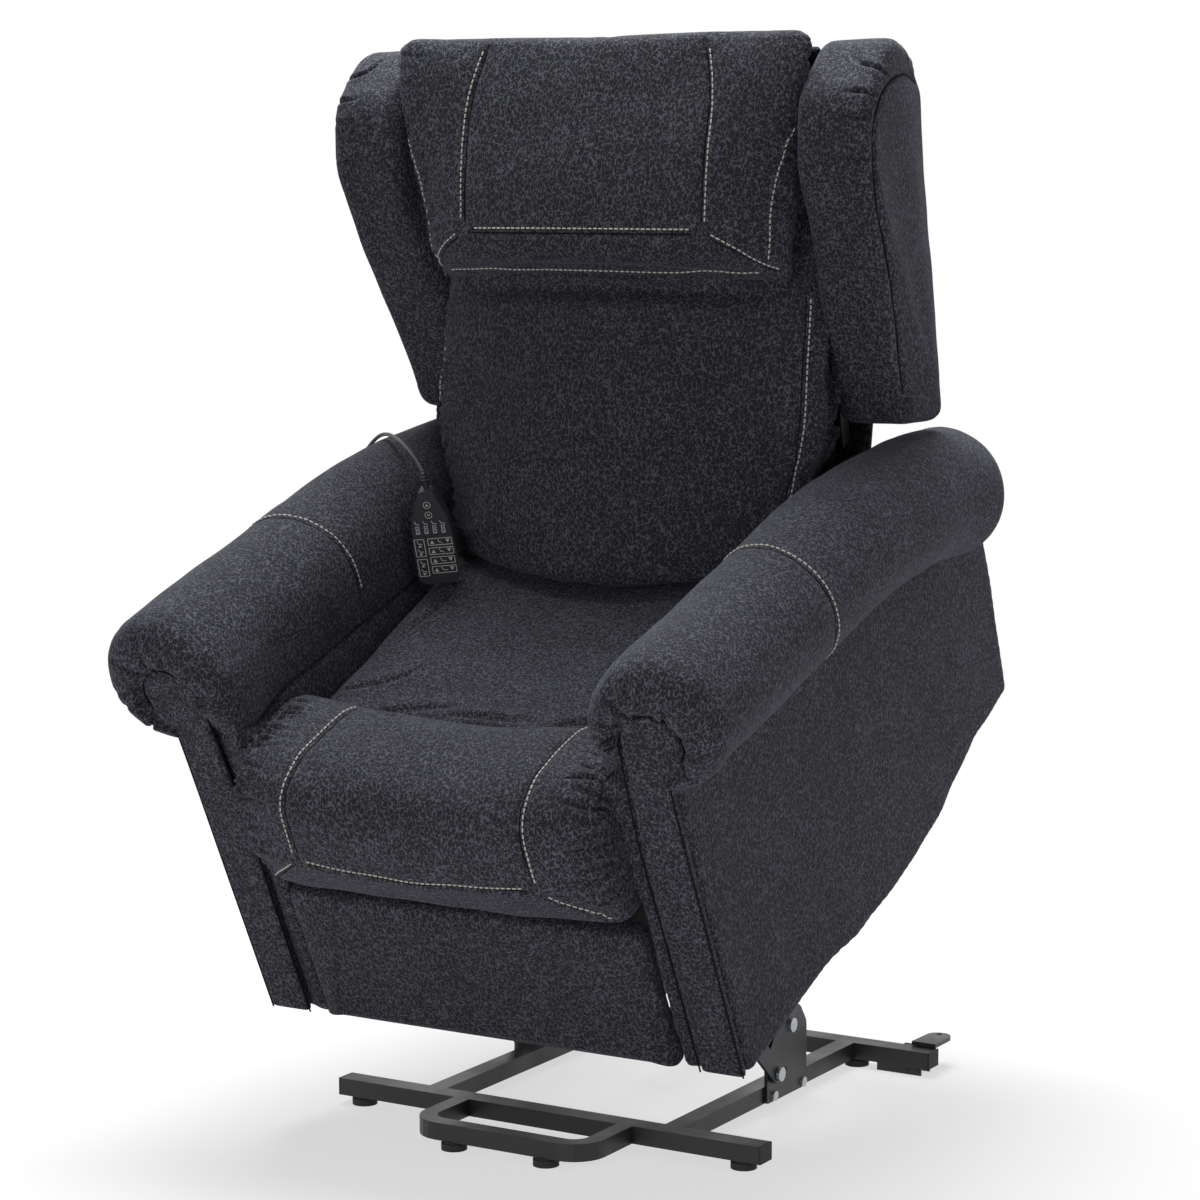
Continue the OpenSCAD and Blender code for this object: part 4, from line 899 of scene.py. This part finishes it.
for side, name in ((1, "left"), (-1, "right")):
    surface = roll_surface() * (side, 1, 1)
    roll = skin("arm_roll_cover_" + name, on_chair(surface), fabric)
    seam = traced(roll, on_chair(lobe_seam * (side, 1, 1)))[0]
    gathered(roll, seam, 46, 18, 12.0, 50, slant=0.15 * side, narrow=2.8, lift=0.25)
    seamed(roll, seam, 6.0, 2.6)
    rumpled(roll, 1.4, 20 + side)
    ring = on_chair(through((ring_seam * (side, 1, 1))[::side], 3))
    row, edges = sewn(roll, [ring], aside=6.0, depth=2.6, width=3.0)
    upholstered(roll, "chair", 0.9, "arm_roll_" + name)
    stitched("arm_roll_stitches_" + name, row, "chair")
    # A near-black cord in the ring seam's groove: painted shade of the seam.
    painted_shade_cords("arm_roll_seam_shade_" + name, edges, "chair", 1.5)

    panel = stuffed("arm_panel_cover_" + name, panel_corners, 40, 6, middle=328, voxel=7.0,
                    place=lambda p, side=side: on_chair(banded(p) * (side, 1, 1)))
    panel = smoothed(subdivided(panel), 2)
    rumpled(panel, 1.2, 30 + side)
    upholstered(panel, "chair", 0.3, "arm_body_" + name)

    facing = stuffed("arm_facing_cover_" + name, facing_corners, 6.2, 5, middle=-6.8, voxel=3.5,
                     place=lambda p, side=side: on_chair(p[..., [1, 0, 2]] * (side, 1, 1)))
    facing = smoothed(facing, 6)
    upholstered(facing, "chair", 0.5, "arm_facing_" + name)
    seam = on_chair(through(facing_seam * (side, 1, 1), 6))
    # A near-black cord round the facing's seam: painted shade of the seam's groove.
    painted_shade_cords("arm_facing_seam_shade_" + name, [(seam, np.broadcast_to((0.0, -1.0, 0.0), seam.shape))],
           "chair", 2.6)

# ---------- Back ----------
# The back cushion is fibre-filled with gathered sides. A head pillow with a stitched middle panel
# is zipped to its top half, and two padded wings are bolted to the frame beside them.


def on_back(points):
    """Places points of the backrest, which leans back from the seat by 32.5 degrees."""
    return turned(points, -6.5, (0, -53.48, 721.62))


def hollow(x, rings):
    """Wraps the cushion round the sitter: its face goes back by 90 x^2 mm, its rear not at all, and
    its foot rises with it."""
    back = 90 * x[..., None] ** 2 * np.clip((150 - rings[..., :1]) / 150, 0, 1)
    low = np.clip(1 - rings[..., 1:] / 150, 0, 1)
    return rings + np.concatenate([back, 0.55 * back * low], -1)


def widened(points, low, high, share):
    """Above low the cushion grows wider, by the given share at high."""
    points = np.array(points, float)
    points[..., 0] *= 1 + share * ramp(points[..., 2], low, high)
    return points


def back_shape(points):
    """The back cushion grows 16% wider from 90 to 260 mm above its foot, where it passes over the
    arms."""
    return on_back(widened(points, 90, 260, 0.16))


back = stuffed("back_cushion_cover", [(6, 2, 26), (142, 90, 16), (116, 734, 18), (16, 734, 30)],
               272, 20, bend=hollow, place=back_shape, voxel=6.5)
back_side = [(255, 90, 40), (253, 82, 120), (244, 70, 240), (245, 64, 433)]
# On the side that the arm covers, the seam runs 24 mm further out and 20 mm further back.
back_hidden = mirrored(back_side) + (-24, 20, 0)
back_seams = laid(back_shape, back_side[::-1], back_hidden)
back_edge = [(268, 108, 55), (268, 102, 120), (266, 94, 240), (266, 90, 433)]
back_edges = laid(back_shape, back_edge, mirrored(back_edge))
inflated(back, back_seams, 8, held=lambda co: co[:, 1] > on_back((0, 130, 400))[1] + 0.4)
back = smoothed(subdivided(back), 2)
gathered_ends(back, back_edges, 26, 16, 6.0, 60, 2.5)
# The cushion is drawn in under the pillow's foot, where the zip holds it.
pillow_foot = on_back(through([(-262, 24, 420), (0, 4, 420), (262, 24, 420)], 20))
creased(back, [traced(back, pillow_foot)[0]], 14.0, 14.0)
rumpled(back, 2.0, 7)
rows, edges = sewn(back, back_seams, aside=-6.0)
upholstered(back, "back", 0.7, "back_cushion")
stitched("back_cushion_stitches", rows, "back")
# Near-black cords in the cushion's seam grooves: painted shade of the seams.
painted_shade_cords("back_cushion_seam_shade", edges, "back")


def curled(x, rings):
    """Turns the pillow's ends: at the foot its face goes back by 46 x^4 mm and its rear by 74 x^2,
    at the top its face stays and its rear comes forward by 14 x^2."""
    share = np.clip((rings[..., :1] + 70) / 68, 0, 1)
    high = ramp(rings[..., 1:], 480, 720)
    back = 46 * (1 - high) * x[..., None] ** 4 * (1 - share)
    back = back + (74 - 88 * high) * x[..., None] ** 2 * share
    return rings + np.concatenate([back, 0 * back], -1)


def pillow_shape(points):
    """The head pillow widens to its two upper ears."""
    return on_back(widened(points, 440, 740, 0.17))


pillow = stuffed("head_pillow_cover", [(-12, 428, 6), (-66, 464, 34), (-66, 604, 70), (-40, 757, 26),
                                       (-8, 759, 8), (-8, 428, 0)], 274, 26, bend=curled,
                 place=pillow_shape)
pillow_low = [(-183, -62, 488), (0, -68, 488), (183, -62, 488)]
pillow_side = [(183, -62, 488), (174, -66, 560), (162, -60, 660), (142, -40, 748)]
pillow_diagonal = [(183, -62, 488), (232, -38, 462), (268, 30, 440)]
pillow_end = [(262, -10, 448), (261, -34, 560), (255, -26, 660), (250, -14, 750)]
pillow_seams = laid(pillow_shape, pillow_low[::-1], pillow_side, mirrored(pillow_side)[::-1],
                    pillow_diagonal[::-1], mirrored(pillow_diagonal))
pillow_ends = laid(pillow_shape, pillow_end, mirrored(pillow_end)[::-1])
pillow_hem = laid(pillow_shape, [(250, 4, 426), (0, -30, 428), (-250, 4, 426)])[0]
inflated(pillow, pillow_seams + pillow_ends, 8, held=lambda co: nearest(
    co, on_back(through([(-270, 60, 600), (0, -6, 600), (270, 60, 600)], 40)))[0] < 0.03)
pillow = smoothed(subdivided(pillow), 2)
gathered_ends(pillow, pillow_ends, 24, 16, 6.0, 80, 2.5)
rumpled(pillow, 1.8, 9)
rows, edges = sewn(pillow, pillow_seams)
rows += [traced(pillow, seam, 4.0) for seam in pillow_ends]
rows.append(traced(pillow, pillow_hem))
upholstered(pillow, "back", 0.8, "head_pillow")
stitched("head_pillow_stitches", rows, "back")
# Near-black cords in the pillow's seam grooves: painted shade of the seams.
painted_shade_cords("head_pillow_seam_shade", edges, "back")


def splayed(points, side):
    """The wing's front stands 24 mm further out than its rear."""
    x, y, z = points[..., 0], points[..., 1], points[..., 2]
    return np.stack([side * (x + 24 * (1 - ramp(y, -10, 170))), y, z], -1)


wing_corners = [(172, 258, 34), (290, 272, 26), (150, 704, 36), (96, 742, 50), (12, 758, 60),
                (-58, 666, 70), (-44, 572, 90)]
wing_welt = [(380, 168, 292), (390, 139, 325), (390, 86, 408), (390, 30, 478), (390, -14, 540),
             (390, -30, 590), (390, -36, 640), (390, -20, 676), (390, 6, 696), (390, 63, 711),
             (390, 118, 706)]
wing_folds = [[(390, -2, 690), (360, -22, 706), (340, 6, 738)], [(390, -30, 664), (350, -44, 670)],
              [(390, -36, 640), (345, -46, 642)], [(390, -32, 590), (345, -44, 590)],
              [(390, 60, 713), (370, 58, 738), (345, 56, 748)], [(390, 92, 711), (370, 92, 730)]]
for side, name in ((1, "left"), (-1, "right")):
    wing = stuffed("wing_cover_" + name, wing_corners, 56, 20, middle=338.5, voxel=5.5,
                   place=lambda p, side=side: on_back(splayed(p, side)))
    wing = smoothed(subdivided(wing), 3)
    welt = traced(wing, on_back(splayed(through(wing_welt, 14), side)))[0]
    creased(wing, [traced(wing, on_back(splayed(through(line, 10), side)))[0] for line in wing_folds],
            4.6, 3.4)
    seamed(wing, welt, 4.0, 4.2)
    rumpled(wing, 1.4, 40 + side)
    # The welt as a raised cord: its form is the welt's own, its near-black colour is painted shade of the
    # seam beside it.
    painted_shade_cords("wing_welt_shade_" + name, [traced(wing, welt)], "back", 2.4)
    upholstered(wing, "back", 0.7, "wing_" + name)

cover = stuffed("back_outside_cover", [(289, 111, 0), (297, 111, 0), (303, 280, 40), (158, 722, 30),
                                       (70, 750, 0), (68, 742, 0), (150, 716, 30), (294, 279, 40)],
                277, 3, place=on_back, voxel=0)
upholstered(cover, "back", 0.1, "back_cover")

# ---------- Handset ----------
# A two-part ABS shell with soft-touch keys and rockers. The symbols are pad-printed in pale grey,
# and a ribbed sleeve keeps the cord from kinking where it leaves the shell.

soft_keys = grained("soft_touch_keys", "#161718", 0.6, 2400.0, 1.0, 0.00004, matt=(0.52, 0.7))
dress(abs_plastic, "handset_lower_shell", "handset_upper_shell")
dress(soft_keys, "power_key", "lamp_key", "lift_rocker", "recline_rocker", "back_keys", "leg_keys",
      "memory_keys", "heat_keys")

# Pad-printing ink: opaque pale grey with a slightly uneven film.
ink = grained("pad_print_ink", "#cfd2d4", 0.55, 1500.0, 1.0, 0, tones=("#c2c5c7", "#dcdee0"))


def on_handset(points):
    """Places points of the handset (across, depth, up) in mm: turned by -6 degrees about its depth,
    19.5 about its width and 25 about the vertical, standing on the seat beside the right arm."""
    p = np.asarray(points, float)
    for axis, turn in ((1, -6), (0, 19.5), (2, 25)):
        c, s = math.cos(math.radians(turn)), math.sin(math.radians(turn))
        i, j = (axis + 1) % 3, (axis + 2) % 3
        q = p.copy()
        q[..., i], q[..., j] = c * p[..., i] - s * p[..., j], s * p[..., i] + c * p[..., j]
        p = q
    return p / 1000 + on_chair((-247, 459, 414))


def printed(name, strokes, depth, body, wide=0.85):
    """Each line of a symbol as a flat bar: wide mm across and half of that longer at both ends."""
    ends = np.array([(a, b) for line in strokes for a, b in zip(line[:-1], line[1:])], float)
    way = unit(ends[:, 1] - ends[:, 0])
    side = np.stack([-way[:, 1], way[:, 0]], 1) * wide / 2
    ahead = way * wide / 2
    corners = np.stack([ends[:, 0] - ahead - side, ends[:, 1] + ahead - side,
                        ends[:, 1] + ahead + side, ends[:, 0] - ahead + side], 1).reshape(-1, 2)
    co = np.stack([corners[:, 0], np.full(len(corners), depth), corners[:, 1]], 1)
    mesh = bpy.data.meshes.new(name)
    mesh.from_pydata(on_handset(co), [], np.arange(len(co)).reshape(-1, 4))
    piece = linked(name, mesh, ink)
    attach(piece, body)


def box_line(x, z, w, h):
    """A rectangular frame."""
    return [(x - w / 2, z - h / 2), (x + w / 2, z - h / 2), (x + w / 2, z + h / 2),
            (x - w / 2, z + h / 2), (x - w / 2, z - h / 2)]


def ring_line(x, z, radius):
    """A round frame of sixteen sides."""
    angle = np.linspace(0, 2 * math.pi, 17)
    return np.stack([x + radius * np.cos(angle), z + radius * np.sin(angle)], 1)


def seat_line(x, z, lean):
    """A chair from the side: back, seat and leg rest."""
    return [(x - 2.2 - lean, z + 3), (x - 1.2, z - 1), (x + 1.6, z - 1), (x + 2.6 + lean, z - 3 + lean)]


def arrow_line(x, z, way):
    """A filled-looking triangle that points up or down."""
    return [(x - 1.8, z - way), (x, z + way), (x + 1.8, z - way), (x - 1.2, z - way),
            (x, z + way * 0.4), (x + 1.2, z - way)]


shell, key_top = -11.06, -12.26
printed("power_symbol", [ring_line(0, 121.5, 4.9), arrow_line(0, 121.5, 1.2)], key_top, "power_key_body")
printed("lamp_symbol", [ring_line(0, 106.5, 4.9), [(-1.4, 108), (0, 105), (1.6, 107.4)]], key_top,
        "lamp_key_body")
printed("shell_symbols", [line for i, x in enumerate((-19, -7, 5, 17)) for line in (
    seat_line(x, 94.5 - 0.4 * i, 0.4 * i), box_line(x, 87.5, 4.2, 3.6), box_line(x, 81.6, 4.6, 3.8),
    [(x - 2.4, 78.4), (x + 2.4, 78.4)])], shell, "chair")
for key, z in (("lift", 57.5), ("recline", 27)):
    printed(key + "_symbols", [box_line(-19.5, z, 13.6, 26), seat_line(-19.5, z + 7, 0.6),
                               arrow_line(-19.5, z + 2.6, 1.2), seat_line(-19.5, z - 5, 1.4),
                               arrow_line(-19.5, z - 10, -1.2)], key_top, key + "_rocker_body")
for i, key in enumerate(("back", "leg", "memory", "heat")):
    z = 65.5 - 14.3 * i
    printed(key + "_symbols", [box_line(9.5, z, 33.6, 10.2), arrow_line(-1.5, z, 1.6),
                               seat_line(9.5, z, 0.5 * i), arrow_line(20.5, z, -1.6),
                               [(-4, z - 2.6), (1, z - 2.6)], [(18, z + 2.8), (23, z + 2.8)]],
            key_top, key + "_keys_body")
